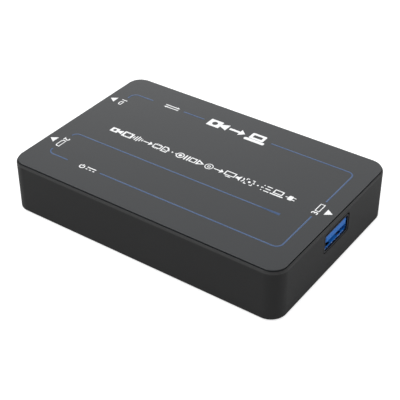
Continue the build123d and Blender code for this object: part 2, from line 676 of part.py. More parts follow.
def heat_sink():
    """Square plate with a row of upright fins."""
    base_top = HEAT_PAD_TOP + HEAT_SINK_BASE
    sink = block(HEAT_SINK_SIZE, HEAT_SINK_SIZE, HEAT_PAD_TOP, base_top)
    fin = block(HEAT_SINK_SIZE, HEAT_SINK_FIN_THICKNESS, base_top, base_top + HEAT_SINK_FIN_HEIGHT)
    pitch = (HEAT_SINK_SIZE - HEAT_SINK_FIN_THICKNESS) / (HEAT_SINK_FIN_COUNT - 1)
    for y in row_places(HEAT_SINK_FIN_COUNT, pitch):
        sink = sink + Pos(0, y, 0) * fin
    return sink


# Chips with bent leads along their sides
LEAD_THICKNESS = 0.18
LEAD_FOOT = 0.5
LEAD_REACH = 1.0
LEAD_HEIGHT_SHARE = 0.5
BODY_LIFT = 0.1


def bent_lead(body_half, body_height, width):
    """Lead that leaves a chip's side at half its height and bends down to a foot on the board."""
    shoulder = BOARD_TOP + BODY_LIFT + LEAD_HEIGHT_SHARE * body_height
    knee = body_half + LEAD_REACH - LEAD_FOOT
    toe = body_half + LEAD_REACH
    side_view = [
        (body_half, shoulder),
        (body_half, shoulder - LEAD_THICKNESS),
        (knee - LEAD_THICKNESS, shoulder - LEAD_THICKNESS),
        (knee - LEAD_THICKNESS, BOARD_TOP),
        (toe, BOARD_TOP),
        (toe, BOARD_TOP + LEAD_THICKNESS),
        (knee, BOARD_TOP + LEAD_THICKNESS),
        (knee, shoulder),
    ]
    return strip(side_view, width)


def raised_chip(length, width, height):
    """Moulded chip body held just clear of the board by its leads."""
    low = BOARD_TOP + BODY_LIFT
    chip = block(length, width, low, low + height)
    return chamfer(chip.faces().sort_by(Axis.Z)[-1].edges(), CHIP_EDGE_CHAMFER)


def lead_rows(body_half, body_height, width, pitch, count, quarter_turns):
    """Rows of leads on the sides of a chip, each side given as quarter turns from +X."""
    lead = bent_lead(body_half, body_height, width)
    rows = []
    for turns in quarter_turns:
        rows += [Rot(0, 0, 90 * turns) * Pos(0, y, 0) * lead for y in row_places(count, pitch)]
    return rows


# The video receiver chip, with leads on all four sides
RECEIVER_SIZE = 12.0
RECEIVER_HEIGHT = 1.4
RECEIVER_LEAD_WIDTH = 0.35
RECEIVER_LEAD_PITCH = 0.8
RECEIVER_LEADS_PER_SIDE = 13

# The flash memory chip, with leads on two sides
FLASH_LENGTH = 3.9
FLASH_WIDTH = 4.9
FLASH_HEIGHT = 1.4
FLASH_LEAD_WIDTH = 0.42
FLASH_LEAD_PITCH = 1.27
FLASH_LEADS_PER_SIDE = 4

# The splitter chip that feeds the video output, and the working memory
SPLITTER_SIZE = 8.0
SPLITTER_HEIGHT = 0.85
MEMORY_LENGTH = 10.0
MEMORY_WIDTH = 8.0
MEMORY_HEIGHT = 1.0

# Power supply: regulators with three leads, and moulded coils
REGULATOR_LENGTH = 3.5
REGULATOR_WIDTH = 6.5
REGULATOR_HEIGHT = 1.6
REGULATOR_LEAD_WIDTH = 0.7
REGULATOR_LEAD_PITCH = 2.3
REGULATOR_LEAD_COUNT = 3
COIL_SIZE = 4.0
COIL_HEIGHT = 2.0
COIL_CORNER_RADIUS = 0.6

# Metal-cased crystals
CRYSTAL_LENGTH = 3.2
CRYSTAL_WIDTH = 2.5
CRYSTAL_HEIGHT = 0.8
CRYSTAL_CORNER_RADIUS = 0.3

# Can capacitors on square plastic bases
CAN_RADIUS = 2.5
CAN_HEIGHT = 4.4
CAN_EDGE_RADIUS = 0.4
CAN_NECK = 0.35
CAN_NECK_WIDTH = 0.5
CAN_NECK_LEVEL = 1.0
CAN_BASE_SPARE = 0.15
CAN_BASE_HEIGHT = 0.8
CAN_BASE_SIZE = 2 * (CAN_RADIUS + CAN_BASE_SPARE)

# Small parts, in rows along Y
CERAMIC_PER_ROW = 4
CERAMIC_LENGTH = 1.6
CERAMIC_WIDTH = 0.8
CERAMIC_HEIGHT = 0.8
RESISTOR_PER_ROW = 5
RESISTOR_LENGTH = 1.0
RESISTOR_WIDTH = 0.5
RESISTOR_HEIGHT = 0.35
SMALL_PART_PITCH = 1.6
SURGE_LENGTH = 1.0
SURGE_WIDTH = 2.5
SURGE_HEIGHT = 0.5
SURGE_PAIR_GAP = 3.1

# Small parts right behind the sockets, with a row of resistors nearest to the video sockets
RESISTOR_SOCKET_GAP = 1.2
SURGE_RESISTOR_GAP = 1.6
SURGE_SOCKET_GAP = 2.2
SOCKET_RESISTOR_X = VIDEO_REAR + RESISTOR_SOCKET_GAP + RESISTOR_LENGTH / 2
VIDEO_SURGE_X = SOCKET_RESISTOR_X + RESISTOR_LENGTH / 2 + SURGE_RESISTOR_GAP + SURGE_LENGTH / 2
DATA_SURGE_X = DATA_REAR - SURGE_SOCKET_GAP - SURGE_LENGTH / 2

# The rest of the board: a front row, a back row, and columns between them that hold the large chips
PART_GAP = 0.8
BOARD_EDGE_MARGIN = 1.5
MIDDLE_SPARE = 2.0
ROW_LOW = LAMP_X + GUIDE_FLANGE_RADIUS + PART_GAP
COLUMN_LOW = VIDEO_SURGE_X + SURGE_LENGTH / 2 + PART_GAP
FIELD_HIGH = DATA_SURGE_X - SURGE_LENGTH / 2 - PART_GAP
FRONT_ROW = ["power_coils", "voltage_regulators", "memory_chip", "resistors", "flash_chip", "can_capacitors"]
BACK_ROW = [
    "ceramic_capacitors", "power_coils", "voltage_regulators", "resistors",
    "ceramic_capacitors", "power_coils", "voltage_regulators", "can_capacitors",
]
MIDDLE_COLUMNS = [
    ("ceramic_capacitors", "ceramic_capacitors"),
    ("splitter_chip", "receiver_chip"),
    ("ceramic_capacitors", "crystals"),
    ("capture_chip",),
    ("crystals", "ceramic_capacitors"),
]


def can_capacitor():
    """Aluminium can with a rounded top and a pressed neck, standing on its base."""
    low = BOARD_TOP + CAN_BASE_HEIGHT
    can = disc(CAN_RADIUS, low, low + CAN_HEIGHT)
    can = fillet(can.edges().group_by(Axis.Z)[-1], CAN_EDGE_RADIUS)
    neck_low = low + CAN_NECK_LEVEL
    neck = disc(CAN_RADIUS + OVERRUN, neck_low, neck_low + CAN_NECK_WIDTH)
    return can - (neck - disc(CAN_RADIUS - CAN_NECK, neck_low, neck_low + CAN_NECK_WIDTH))


def spread(sizes, low, high):
    """Middles of things of these sizes that share the space between two ends, with even gaps."""
    gap = (high - low - sum(sizes)) / (len(sizes) + 1)
    middles = []
    edge = low
    for size in sizes:
        middles.append(edge + gap + size / 2)
        edge += gap + size
    return middles


def socket_part_places():
    """Places of the resistor rows and of the surge arrays that stand right behind the sockets."""
    video_sides = [y for x, y in VIDEO_PLACES]
    resistor_rows = [(SOCKET_RESISTOR_X, y) for y in video_sides]
    half_pair = (SURGE_WIDTH + SURGE_PAIR_GAP) / 2
    pair_middles = [(VIDEO_SURGE_X, y) for y in video_sides] + [(DATA_SURGE_X, DATA_SOCKET_OFFSET)]
    surge_arrays = [(x, y + side * half_pair) for x, y in pair_middles for side in (-1, 1)]
    return resistor_rows, surge_arrays


def board_places():
    """Places on the board by node name; a place of small parts is the middle of a row of them."""
    receiver_span = RECEIVER_SIZE + 2 * LEAD_REACH
    lengths = {
        "capture_chip": HEAT_SINK_SIZE,
        "receiver_chip": receiver_span,
        "splitter_chip": SPLITTER_SIZE,
        "memory_chip": MEMORY_LENGTH,
        "flash_chip": FLASH_LENGTH + 2 * LEAD_REACH,
        "voltage_regulators": REGULATOR_LENGTH + 2 * LEAD_REACH,
        "power_coils": COIL_SIZE,
        "crystals": CRYSTAL_LENGTH,
        "can_capacitors": CAN_BASE_SIZE,
        "ceramic_capacitors": CERAMIC_LENGTH,
        "resistors": RESISTOR_LENGTH,
    }
    places = {name: [] for name in lengths}
    places["resistors"], places["surge_arrays"] = socket_part_places()

    edge = BOARD_WIDTH / 2 - BOARD_EDGE_MARGIN
    middle_depth = SPLITTER_SIZE + receiver_span + MIDDLE_SPARE
    front_y, middle_y, back_y = spread([MEMORY_WIDTH, middle_depth, REGULATOR_WIDTH], -edge, edge)
    for row, y in ((FRONT_ROW, front_y), (BACK_ROW, back_y)):
        for name, x in zip(row, spread([lengths[name] for name in row], ROW_LOW, FIELD_HIGH)):
            places[name].append((x, y))

    middle_low = middle_y - middle_depth / 2
    two_levels = spread([SPLITTER_SIZE, receiver_span], middle_low, middle_low + middle_depth)
    column_lengths = [max(lengths[name] for name in column) for column in MIDDLE_COLUMNS]
    for column, x in zip(MIDDLE_COLUMNS, spread(column_lengths, COLUMN_LOW, FIELD_HIGH)):
        levels = two_levels if len(column) > 1 else [middle_y]
        for name, y in zip(column, levels):
            places[name].append((x, y))
    return places


def small_part_places(rows, count):
    """Places of small parts that stand side by side in rows along Y, from the middles of the rows."""
    return [(x, y + step) for x, y in rows for step in row_places(count, SMALL_PART_PITCH)]


def board_pieces():
    """Everything that is soldered to the board apart from the sockets, by node name."""
    places = board_places()
    capture_place = places["capture_chip"]
    receiver_place = places["receiver_chip"]
    flash_place = places["flash_chip"]
    regulator_places = places["voltage_regulators"]
    can_places = places["can_capacitors"]

    capture = flat_chip(CAPTURE_CHIP_SIZE, CAPTURE_CHIP_SIZE, CAPTURE_CHIP_HEIGHT)
    heat_pad = block(HEAT_PAD_SIZE, HEAT_PAD_SIZE, CHIP_TOP, HEAT_PAD_TOP)
    receiver = raised_chip(RECEIVER_SIZE, RECEIVER_SIZE, RECEIVER_HEIGHT)
    receiver_leads = lead_rows(
        RECEIVER_SIZE / 2, RECEIVER_HEIGHT, RECEIVER_LEAD_WIDTH,
        RECEIVER_LEAD_PITCH, RECEIVER_LEADS_PER_SIDE, (0, 1, 2, 3),
    )
    regulator = raised_chip(REGULATOR_LENGTH, REGULATOR_WIDTH, REGULATOR_HEIGHT)
    flash_leads = lead_rows(
        FLASH_LENGTH / 2, FLASH_HEIGHT, FLASH_LEAD_WIDTH, FLASH_LEAD_PITCH, FLASH_LEADS_PER_SIDE, (0, 2)
    )
    regulator_half = REGULATOR_LENGTH / 2
    regulator_leads = lead_rows(
        regulator_half, REGULATOR_HEIGHT, REGULATOR_LEAD_WIDTH,
        REGULATOR_LEAD_PITCH, REGULATOR_LEAD_COUNT, (0,),
    )
    tab_width = REGULATOR_LEAD_PITCH + REGULATOR_LEAD_WIDTH
    regulator_tab = lead_rows(regulator_half, REGULATOR_HEIGHT, tab_width, REGULATOR_LEAD_PITCH, 1, (2,))
    coil_outline = RectangleRounded(COIL_SIZE, COIL_SIZE, COIL_CORNER_RADIUS)
    coil = slab(coil_outline, BOARD_TOP, BOARD_TOP + COIL_HEIGHT)
    crystal_outline = RectangleRounded(CRYSTAL_LENGTH, CRYSTAL_WIDTH, CRYSTAL_CORNER_RADIUS)
    crystal = slab(crystal_outline, BOARD_TOP, BOARD_TOP + CRYSTAL_HEIGHT)
    can_base = block(CAN_BASE_SIZE, CAN_BASE_SIZE, BOARD_TOP, BOARD_TOP + CAN_BASE_HEIGHT)
    ceramic = block(CERAMIC_LENGTH, CERAMIC_WIDTH, BOARD_TOP, BOARD_TOP + CERAMIC_HEIGHT)
    resistor = block(RESISTOR_LENGTH, RESISTOR_WIDTH, BOARD_TOP, BOARD_TOP + RESISTOR_HEIGHT)
    surge_array = block(SURGE_LENGTH, SURGE_WIDTH, BOARD_TOP, BOARD_TOP + SURGE_HEIGHT)
    splitter = flat_chip(SPLITTER_SIZE, SPLITTER_SIZE, SPLITTER_HEIGHT)
    memory = flat_chip(MEMORY_LENGTH, MEMORY_WIDTH, MEMORY_HEIGHT)
    ceramic_places = small_part_places(places["ceramic_capacitors"], CERAMIC_PER_ROW)
    resistor_places = small_part_places(places["resistors"], RESISTOR_PER_ROW)
    return {
        "capture_chip": copies(capture, capture_place),
        "heat_sink_pad": copies(heat_pad, capture_place),
        "heat_sink": copies(heat_sink(), capture_place),
        "receiver_chip": copies(receiver, receiver_place),
        "receiver_chip_leads": each_copied(receiver_leads, receiver_place),
        "splitter_chip": copies(splitter, places["splitter_chip"]),
        "memory_chip": copies(memory, places["memory_chip"]),
        "flash_chip": copies(raised_chip(FLASH_LENGTH, FLASH_WIDTH, FLASH_HEIGHT), flash_place),
        "flash_chip_leads": each_copied(flash_leads, flash_place),
        "voltage_regulators": copies(regulator, regulator_places),
        "regulator_leads": each_copied(regulator_leads + regulator_tab, regulator_places),
        "power_coils": copies(coil, places["power_coils"]),
        "crystals": copies(crystal, places["crystals"]),
        "can_capacitors": copies(can_capacitor(), can_places),
        "can_capacitor_bases": copies(can_base, can_places),
        "ceramic_capacitors": copies(ceramic, ceramic_places),
        "resistors": copies(resistor, resistor_places),
        "surge_arrays": copies(surge_array, places["surge_arrays"]),
    }


def lamp():
    """Indicator lamp on the board."""
    return block(LAMP_LENGTH, LAMP_WIDTH, BOARD_TOP, BOARD_TOP + LAMP_HEIGHT)


def light_guide():
    """Clear rod from just above a lamp up into the cover, with a flange under its holder."""
    rod = disc(GUIDE_RADIUS, BOARD_TOP + LAMP_HEIGHT + GUIDE_LAMP_GAP, GUIDE_TOP)
    return rod + disc(GUIDE_FLANGE_RADIUS, HOLDER_BOTTOM - GUIDE_FLANGE_HEIGHT, HOLDER_BOTTOM)


def all_nodes():
    """Every node of the box, as a list of solids under its name."""
    nodes = {
        "lower_case": [lower_case()],
        "top_cover": [top_cover()],
        "case_screws": case_screws(),
        "rubber_feet": rubber_feet(),
        "circuit_board": [circuit_board()],
        "board_screws": board_screws(),
    }
    for name, place in zip(("video_in_socket", "video_out_socket"), VIDEO_PLACES):
        shell, body, contacts = video_socket(place)
        nodes[name + "_shell"] = shell
        nodes[name + "_body"] = body
        nodes[name + "_contacts"] = contacts
    shell, body, springs, flats = data_socket()
    nodes["data_socket_shell"] = shell
    nodes["data_socket_body"] = body
    nodes["data_socket_spring_contacts"] = springs
    nodes["data_socket_flat_contacts"] = flats
    nodes.update(board_pieces())
    for name, side in (("link", 1), ("power", -1)):
        nodes[name + "_lamp"] = copies(lamp(), [(LAMP_X, side * LAMP_Y)])
        nodes[name + "_light_guide"] = copies(light_guide(), [(LAMP_X, side * LAMP_Y)])
    return nodes


os.makedirs("parts", exist_ok=True)
for node_name, node_pieces in all_nodes().items():
    write_node(node_name, node_pieces)
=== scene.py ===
"""Looks of the video capture box: moulded case, printed cover, sockets and circuit board, on a pale floor."""
import logging
import math
from dataclasses import dataclass
from enum import Enum

import bmesh
import bpy
from mathutils import Matrix, Vector


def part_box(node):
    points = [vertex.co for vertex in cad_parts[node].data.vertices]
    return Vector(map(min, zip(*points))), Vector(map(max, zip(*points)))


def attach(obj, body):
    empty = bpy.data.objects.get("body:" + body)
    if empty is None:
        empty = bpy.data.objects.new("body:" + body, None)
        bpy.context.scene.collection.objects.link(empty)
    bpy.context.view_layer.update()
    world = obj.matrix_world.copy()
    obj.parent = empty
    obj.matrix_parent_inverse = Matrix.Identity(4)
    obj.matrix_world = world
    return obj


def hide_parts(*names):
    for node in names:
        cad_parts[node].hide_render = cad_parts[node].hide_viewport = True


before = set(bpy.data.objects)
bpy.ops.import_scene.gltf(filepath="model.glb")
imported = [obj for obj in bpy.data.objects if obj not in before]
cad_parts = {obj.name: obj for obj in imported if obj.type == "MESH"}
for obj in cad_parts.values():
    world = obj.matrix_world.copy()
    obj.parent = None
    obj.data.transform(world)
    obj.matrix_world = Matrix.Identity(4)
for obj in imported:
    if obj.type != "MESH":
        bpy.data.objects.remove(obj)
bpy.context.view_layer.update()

LOG = logging.getLogger("video_capture_box")
MM = 0.001
BODY = "root"

Point = tuple[float, float]
Outline = list[Point]
Layer = list[Outline]


class Turn(Enum):
    """Direction in which a printed sign reads, as quarter turns from +X."""

    LEFT_SIDE = -1
    RIGHT_SIDE = 1


class Sign(Enum):
    """Small signs of the printed row, drawn by the methods of those names, and its gap for dots."""

    CAMERA = "camera"
    ARROW = "arrow"
    FILM = "film"
    CHIP = "chip"
    SCREEN = "screen"
    GAP = "gap"
    RECORD = "record"
    PAUSE = "pause"
    PLAY = "play"
    STOP = "stop"
    DISC = "disc"
    LAPTOP = "laptop"
    WAVE = "wave"
    CARD = "card"
    SPEAKER = "speaker"
    FOCUS = "focus"
    LINES = "lines"
    PLUG = "plug"


def linear(hex_colour: str) -> tuple[float, float, float, float]:
    """Turn an sRGB hex colour into linear light.

    Args:
        hex_colour: Colour written as #rrggbb.

    Returns:
        Red, green, blue and alpha in linear light.
    """
    knee, slope, lift, power = 0.04045, 12.92, 0.055, 2.4
    shares = [int(hex_colour[start:start + 2], 16) / 255 for start in (1, 3, 5)]
    red, green, blue = [s / slope if s <= knee else ((s + lift) / (1 + lift)) ** power for s in shares]
    return red, green, blue, 1.0


def add_node(
    tree: bpy.types.NodeTree,
    kind: str,
    values: dict | None = None,
    links: dict | None = None,
    **settings: object,
) -> bpy.types.Node:
    """Add one node to a tree with its settings and links.

    Args:
        tree: Shader or geometry tree.
        kind: Type name of the node.
        values: Input values by socket name or index.
        links: Output sockets to link, by the name or index of the input that they feed.
        **settings: Properties of the node.

    Returns:
        The new node.
    """
    node = tree.nodes.new(kind)
    for name, value in settings.items():
        setattr(node, name, value)
    for key, value in (values or {}).items():
        node.inputs[key].default_value = value
    for key, source in (links or {}).items():
        tree.links.new(source, node.inputs[key])
    return node


def per_mm(size_mm: float) -> float:
    """Scale that gives a texture on Object coordinates features of this size."""
    return 1 / (size_mm * MM)


# Sockets of a Mix node that mixes colours, by index, because others on it have the same names
MIX_FACTOR, MIX_A, MIX_B, MIX_RESULT = 0, 6, 7, 2
# Octaves of the noises that make patches, grain and streaks
PATCH_DETAIL, GRAIN_DETAIL, STREAK_DETAIL = 3.0, 2.0, 1.0
WHITE = "#ffffff"


@dataclass(frozen=True)
class Finish:
    """A real surface: its colour drifts over patches and its grain sets bump and roughness.

    The two noises are the mould's slow colour drift and its fine texture, both at their real size.
    """

    name: str
    slot: str
    dark: str
    light: str
    roughness: float
    roughness_drift: float = 0.05
    patch_mm: float = 22.0
    grain_mm: float = 0.5
    grain_height_mm: float = 0.006
    grain_stretch: tuple[float, float, float] = (1.0, 1.0, 1.0)
    specular: float = 0.5
    metallic: float = 0.0
    transmission: float = 0.0

    def material(self) -> bpy.types.Material:
        """Build the material once and return it.

        Returns:
            The material, shared by all pieces of this finish.
        """
        known = bpy.data.materials.get(self.name)
        if known is not None:
            return known
        made = bpy.data.materials.new(self.name)
        made.use_nodes = True
        tree = made.node_tree
        shader = tree.nodes["Principled BSDF"]
        shader.inputs["Metallic"].default_value = self.metallic
        shader.inputs["Transmission Weight"].default_value = self.transmission
        if self.metallic < 1:
            shader.inputs["Specular IOR Level"].default_value = self.specular
        place = add_node(tree, "ShaderNodeTexCoord").outputs["Object"]
        self.paint(tree, shader, place)
        made.diffuse_color = linear(self.light)
        return made

    def paint(self, tree: bpy.types.NodeTree, shader: bpy.types.Node, place: bpy.types.NodeSocket) -> None:
        """Feed colour, roughness and bump of the shader.

        Args:
            tree: Tree of the material.
            shader: Its Principled BSDF.
            place: Object coordinates.
        """
        patches = add_node(
            tree, "ShaderNodeTexNoise", {"Scale": per_mm(self.patch_mm), "Detail": PATCH_DETAIL},
            {"Vector": place},
        )
        stretched = add_node(tree, "ShaderNodeMapping", {"Scale": self.grain_stretch}, {"Vector": place})
        grain = add_node(
            tree, "ShaderNodeTexNoise", {"Scale": per_mm(self.grain_mm), "Detail": GRAIN_DETAIL},
            {"Vector": stretched.outputs["Vector"]},
        )
        colour = add_node(
            tree, "ShaderNodeMix", {MIX_A: linear(self.dark), MIX_B: linear(self.light)},
            {MIX_FACTOR: patches.outputs["Fac"]}, data_type="RGBA",
        )
        tree.links.new(colour.outputs[MIX_RESULT], shader.inputs["Base Color"])
        drift = add_node(
            tree, "ShaderNodeMapRange",
            {
                "To Min": self.roughness - self.roughness_drift,
                "To Max": self.roughness + self.roughness_drift,
            },
            {"Value": grain.outputs["Fac"]},
        )
        tree.links.new(drift.outputs["Result"], shader.inputs["Roughness"])
        bump = add_node(
            tree, "ShaderNodeBump", {"Strength": 1.0, "Distance": self.grain_height_mm * MM},
            {"Height": grain.outputs["Fac"]},
        )
        tree.links.new(bump.outputs["Normal"], shader.inputs["Normal"])


@dataclass(frozen=True)
class SolderMask(Finish):
    """Green lacquer on glass laminate, with the raised copper tracks showing through as lighter lines."""

    track_mm: float = 1.4
    track_share: float = 0.04
    track_edge: float = 0.2
    track_height_mm: float = 0.03

    def paint(self, tree: bpy.types.NodeTree, shader: bpy.types.Node, place: bpy.types.NodeSocket) -> None:
        """Feed the shader from a grid of straight tracks, lighter and a little raised.

        Args:
            tree: Tree of the material.
            shader: Its Principled BSDF.
            place: Object coordinates.
        """
        rows_per_unit = 4
        tracks = add_node(
            tree, "ShaderNodeTexBrick",
            {
                "Scale": per_mm(self.track_mm) / rows_per_unit,
                "Mortar Size": self.track_share, "Mortar Smooth": self.track_edge,
                "Color1": linear(self.dark), "Color2": linear(self.dark), "Mortar": linear(self.light),
            },
            {"Vector": place},
        )
        tree.links.new(tracks.outputs["Color"], shader.inputs["Base Color"])
        bump = add_node(
            tree, "ShaderNodeBump", {"Strength": 1.0, "Distance": self.track_height_mm * MM},
            {"Height": tracks.outputs["Fac"]},
        )
        tree.links.new(bump.outputs["Normal"], shader.inputs["Normal"])
        shader.inputs["Roughness"].default_value = self.roughness


@dataclass(frozen=True)
class RubbedPlate(Finish):
    """Dark plating that plugs have rubbed through in streaks along X, just inside the mouth of a socket."""

    bare: str = "#c9c9cf"
    streak_mm: float = 0.45
    streak_stretch: tuple[float, float, float] = (0.06, 1.0, 0.4)
    streak_low: float = 0.52
    streak_high: float = 0.62
    rim_mm: float = 0.4

    def paint(self, tree: bpy.types.NodeTree, shader: bpy.types.Node, place: bpy.types.NodeSocket) -> None:
        """Feed the shader, with bare metal in streaks behind the rim of the mouth.

        Args:
            tree: Tree of the material.
            shader: Its Principled BSDF.
            place: Object coordinates.
        """
        super().paint(tree, shader, place)
        plated = shader.inputs["Base Color"].links[0].from_socket
        stretched = add_node(tree, "ShaderNodeMapping", {"Scale": self.streak_stretch}, {"Vector": place})
        noise = add_node(
            tree, "ShaderNodeTexNoise", {"Scale": per_mm(self.streak_mm), "Detail": STREAK_DETAIL},
            {"Vector": stretched.outputs["Vector"]},
        )
        streaks = add_node(
            tree, "ShaderNodeMapRange", {"From Min": self.streak_low, "From Max": self.streak_high},
            {"Value": noise.outputs["Fac"]},
        )
        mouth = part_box("data_socket_shell")[1].x - self.rim_mm * MM
        along = add_node(tree, "ShaderNodeSeparateXYZ", links={"Vector": place})
        behind = add_node(
            tree, "ShaderNodeMath", {1: mouth}, {0: along.outputs["X"]}, operation="LESS_THAN"
        )
        rubbed = add_node(
            tree, "ShaderNodeMath", links={0: streaks.outputs["Result"], 1: behind.outputs[0]},
            operation="MULTIPLY",
        )
        colour = add_node(
            tree, "ShaderNodeMix", {MIX_B: linear(self.bare)},
            {MIX_FACTOR: rubbed.outputs[0], MIX_A: plated}, data_type="RGBA",
        )
        tree.links.new(colour.outputs[MIX_RESULT], shader.inputs["Base Color"])


@dataclass(frozen=True)
class WornAndHighlitShoulder(Finish):
    """Textured plastic with a paler band along the round shoulder of the case's rim: a painted highlight,
    with light wear from handling.
    """

    # Paler colour of the rim band: painted highlight, with light wear from handling
    wear_and_highlight: str = "#3a3a3a"
    shoulder_drop_mm: float = 0.6
    wear_and_highlight_half_mm: float = 0.1
    faded_half_mm: float = 0.42

    def paint(self, tree: bpy.types.NodeTree, shader: bpy.types.Node, place: bpy.types.NodeSocket) -> None:
        """Feed the shader, with a paler band just below the top of the rim that paints a highlight and light
        wear.

        Args:
            tree: Tree of the material.
            shader: Its Principled BSDF.
            place: Object coordinates.
        """
        super().paint(tree, shader, place)
        moulded = shader.inputs["Base Color"].links[0].from_socket
        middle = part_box("lower_case")[1].z - self.shoulder_drop_mm * MM
        height = add_node(tree, "ShaderNodeSeparateXYZ", links={"Vector": place}).outputs["Z"]
        above = add_node(tree, "ShaderNodeMath", {1: middle}, {0: height}, operation="SUBTRACT")
        away = add_node(tree, "ShaderNodeMath", links={0: above.outputs[0]}, operation="ABSOLUTE")
        # Painted highlight and light wear: the base colour turns paler in a band about the shoulder's height
        wear_and_highlight_band = add_node(
            tree, "ShaderNodeMapRange",
            {"From Min": self.faded_half_mm * MM, "From Max": self.wear_and_highlight_half_mm * MM},
            {"Value": away.outputs[0]},
        )
        colour = add_node(
            tree, "ShaderNodeMix", {MIX_B: linear(self.wear_and_highlight)},
            {MIX_FACTOR: wear_and_highlight_band.outputs["Result"], MIX_A: moulded}, data_type="RGBA",
        )
        tree.links.new(colour.outputs[MIX_RESULT], shader.inputs["Base Color"])


# Satin moulded ABS: nearly black with a cool tint, its fine texture spreads the softbox over the whole top
COVER_ABS = Finish(
    "satin_black_moulded_abs", "cover_plastic", "#15181b", "#1b1e21", roughness=0.38,
    grain_mm=0.35, grain_height_mm=0.002,
)
# Spark-eroded mould texture: a coarser grain, so the sides stay darker and flatter than the top, and the
# shoulder of the rim is paler: a painted highlight, with light wear from handling
CASE_ABS = WornAndHighlitShoulder(
    "spark_textured_black_abs", "case_plastic", "#212121", "#252525", roughness=0.5,
    grain_mm=0.45, grain_height_mm=0.005, specular=0.25,
)
# Pad-printed white ink: opaque and slightly uneven, duller than the plastic round it
WHITE_INK = Finish(
    "pad_printed_white_ink", "white_ink", "#e9e9e9", "#f4f4f4", roughness=0.5,
    patch_mm=3.0, grain_mm=0.12, grain_height_mm=0.001,
)
# Pad-printed blue ink: thin, so it stays deep in tone
BLUE_INK = Finish(
    "pad_printed_blue_ink", "blue_ink", "#2f4b74", "#35537b", roughness=0.45,
    patch_mm=4.0, grain_mm=0.12, grain_height_mm=0.001,
)
# Bright nickel plate over rolled sheet: faint rolling lines along the socket
NICKEL_SHEET = Finish(
    "nickel_plated_rolled_sheet", "plated_sheet", "#b9b9b6", "#cfcfcc", roughness=0.24,
    metallic=1.0, patch_mm=5.0, grain_mm=0.2, grain_height_mm=0.001, grain_stretch=(0.1, 1.0, 1.0),
)
# Black nickel plate over rolled sheet: dark smoky metal, rubbed bright in streaks where plugs slide in
BLACK_NICKEL = RubbedPlate(
    "black_nickel_plated_sheet", "dark_plated_sheet", "#3c3d41", "#4b4c50", roughness=0.3,
    metallic=1.0, patch_mm=3.0, grain_mm=0.2, grain_height_mm=0.001,
)
# Moulded PBT: saturated blue, just glossy enough for soft highlights along its edges
BLUE_PBT = Finish(
    "glossy_blue_moulded_pbt", "blue_insert", "#1d72cc", "#2679d4", roughness=0.4,
    patch_mm=4.0, grain_mm=0.25, grain_height_mm=0.002, specular=0.2,
)
# Glass-filled nylon: dull black with a fibrous speckle
BLACK_NYLON = Finish(
    "glass_filled_black_nylon", "black_insert", "#141414", "#1e1e1e", roughness=0.55,
    patch_mm=2.0, grain_mm=0.15, grain_height_mm=0.004,
)
# Gold flash over copper alloy: warm and bright even in a dark mouth
GOLD_FLASH = Finish(
    "gold_flashed_copper_alloy", "gold_contact", "#e0b35a", "#efc772", roughness=0.22,
    metallic=1.0, patch_mm=1.5, grain_mm=0.1, grain_height_mm=0.001,
)
# Moulded natural rubber: dead matt, with a fine rubbed texture
FOOT_RUBBER = Finish(
    "matt_black_moulded_rubber", "foot_rubber", "#101010", "#1a1a1a", roughness=0.85,
    patch_mm=3.0, grain_mm=0.25, grain_height_mm=0.015, specular=0.3,
)
# Black zinc plate on steel: dark metal with a soft sheen
BLACK_ZINC = Finish(
    "black_zinc_plated_steel", "screw_steel", "#2c2c2e", "#3a3a3c", roughness=0.38,
    metallic=1.0, patch_mm=1.5, grain_mm=0.15, grain_height_mm=0.002,
)
# Solder mask over glass laminate: glossy green with lighter tracks
BOARD_MASK = SolderMask(
    "green_solder_mask_on_laminate", "board_laminate", "#0f4a2a", "#1b6a3d", roughness=0.3,
)
# Moulded epoxy: dark grey with a fine sandy texture
CHIP_EPOXY = Finish(
    "moulded_black_epoxy", "chip_resin", "#1c1c1d", "#262627", roughness=0.6,
    patch_mm=3.0, grain_mm=0.12, grain_height_mm=0.004,
)
# Matt tin plate: pale grey and slightly cloudy
TIN_PLATE = Finish(
    "matt_tin_plated_copper", "tinned_lead", "#b4b5b6", "#cccdce", roughness=0.4,
    metallic=1.0, patch_mm=0.8, grain_mm=0.08, grain_height_mm=0.001,
)
# Filled silicone sheet: soft grey and matt
SILICONE_PAD = Finish(
    "filled_silicone_pad", "soft_pad", "#8f959b", "#a1a7ad", roughness=0.8,
    patch_mm=2.0, grain_mm=0.2, grain_height_mm=0.01,
)
# Black anodised extrusion: fine die lines run along the fins
ANODISED = Finish(
    "black_anodised_aluminium", "sink_aluminium", "#2b2c2e", "#38393b", roughness=0.42,
    metallic=1.0, patch_mm=6.0, grain_mm=0.2, grain_height_mm=0.003, grain_stretch=(0.05, 1.0, 1.0),
)
# Pressed iron powder: charcoal with a granular surface
IRON_POWDER = Finish(
    "pressed_iron_powder", "coil_body", "#3a3a3a", "#4a4a4a", roughness=0.65,
    patch_mm=1.0, grain_mm=0.15, grain_height_mm=0.01,
)
# Nickel-plated steel lid: pale and smooth
STEEL_LID = Finish(
    "nickel_plated_steel_lid", "crystal_can", "#c0bfb6", "#d2d1c8", roughness=0.28,
    metallic=1.0, patch_mm=1.0, grain_mm=0.1, grain_height_mm=0.001,
)
# Drawn aluminium: bright, with faint draw lines up the can
DRAWN_CAN = Finish(
    "drawn_bright_aluminium", "capacitor_can", "#cfd0d2", "#e2e3e5", roughness=0.25,
    metallic=1.0, patch_mm=2.0, grain_mm=0.15, grain_height_mm=0.001, grain_stretch=(1.0, 1.0, 0.08),
)
# Fired barium titanate: tan and slightly mottled
FIRED_CERAMIC = Finish(
    "fired_tan_ceramic", "ceramic_body", "#9a7450", "#b08a62", roughness=0.5,
    patch_mm=0.5, grain_mm=0.08, grain_height_mm=0.002,
)
# Glass glaze over alumina: black and glossy
BLACK_GLAZE = Finish(
    "black_glazed_alumina", "resistor_body", "#121214", "#1c1c1e", roughness=0.2,
    patch_mm=0.5, grain_mm=0.08, grain_height_mm=0.001,
)
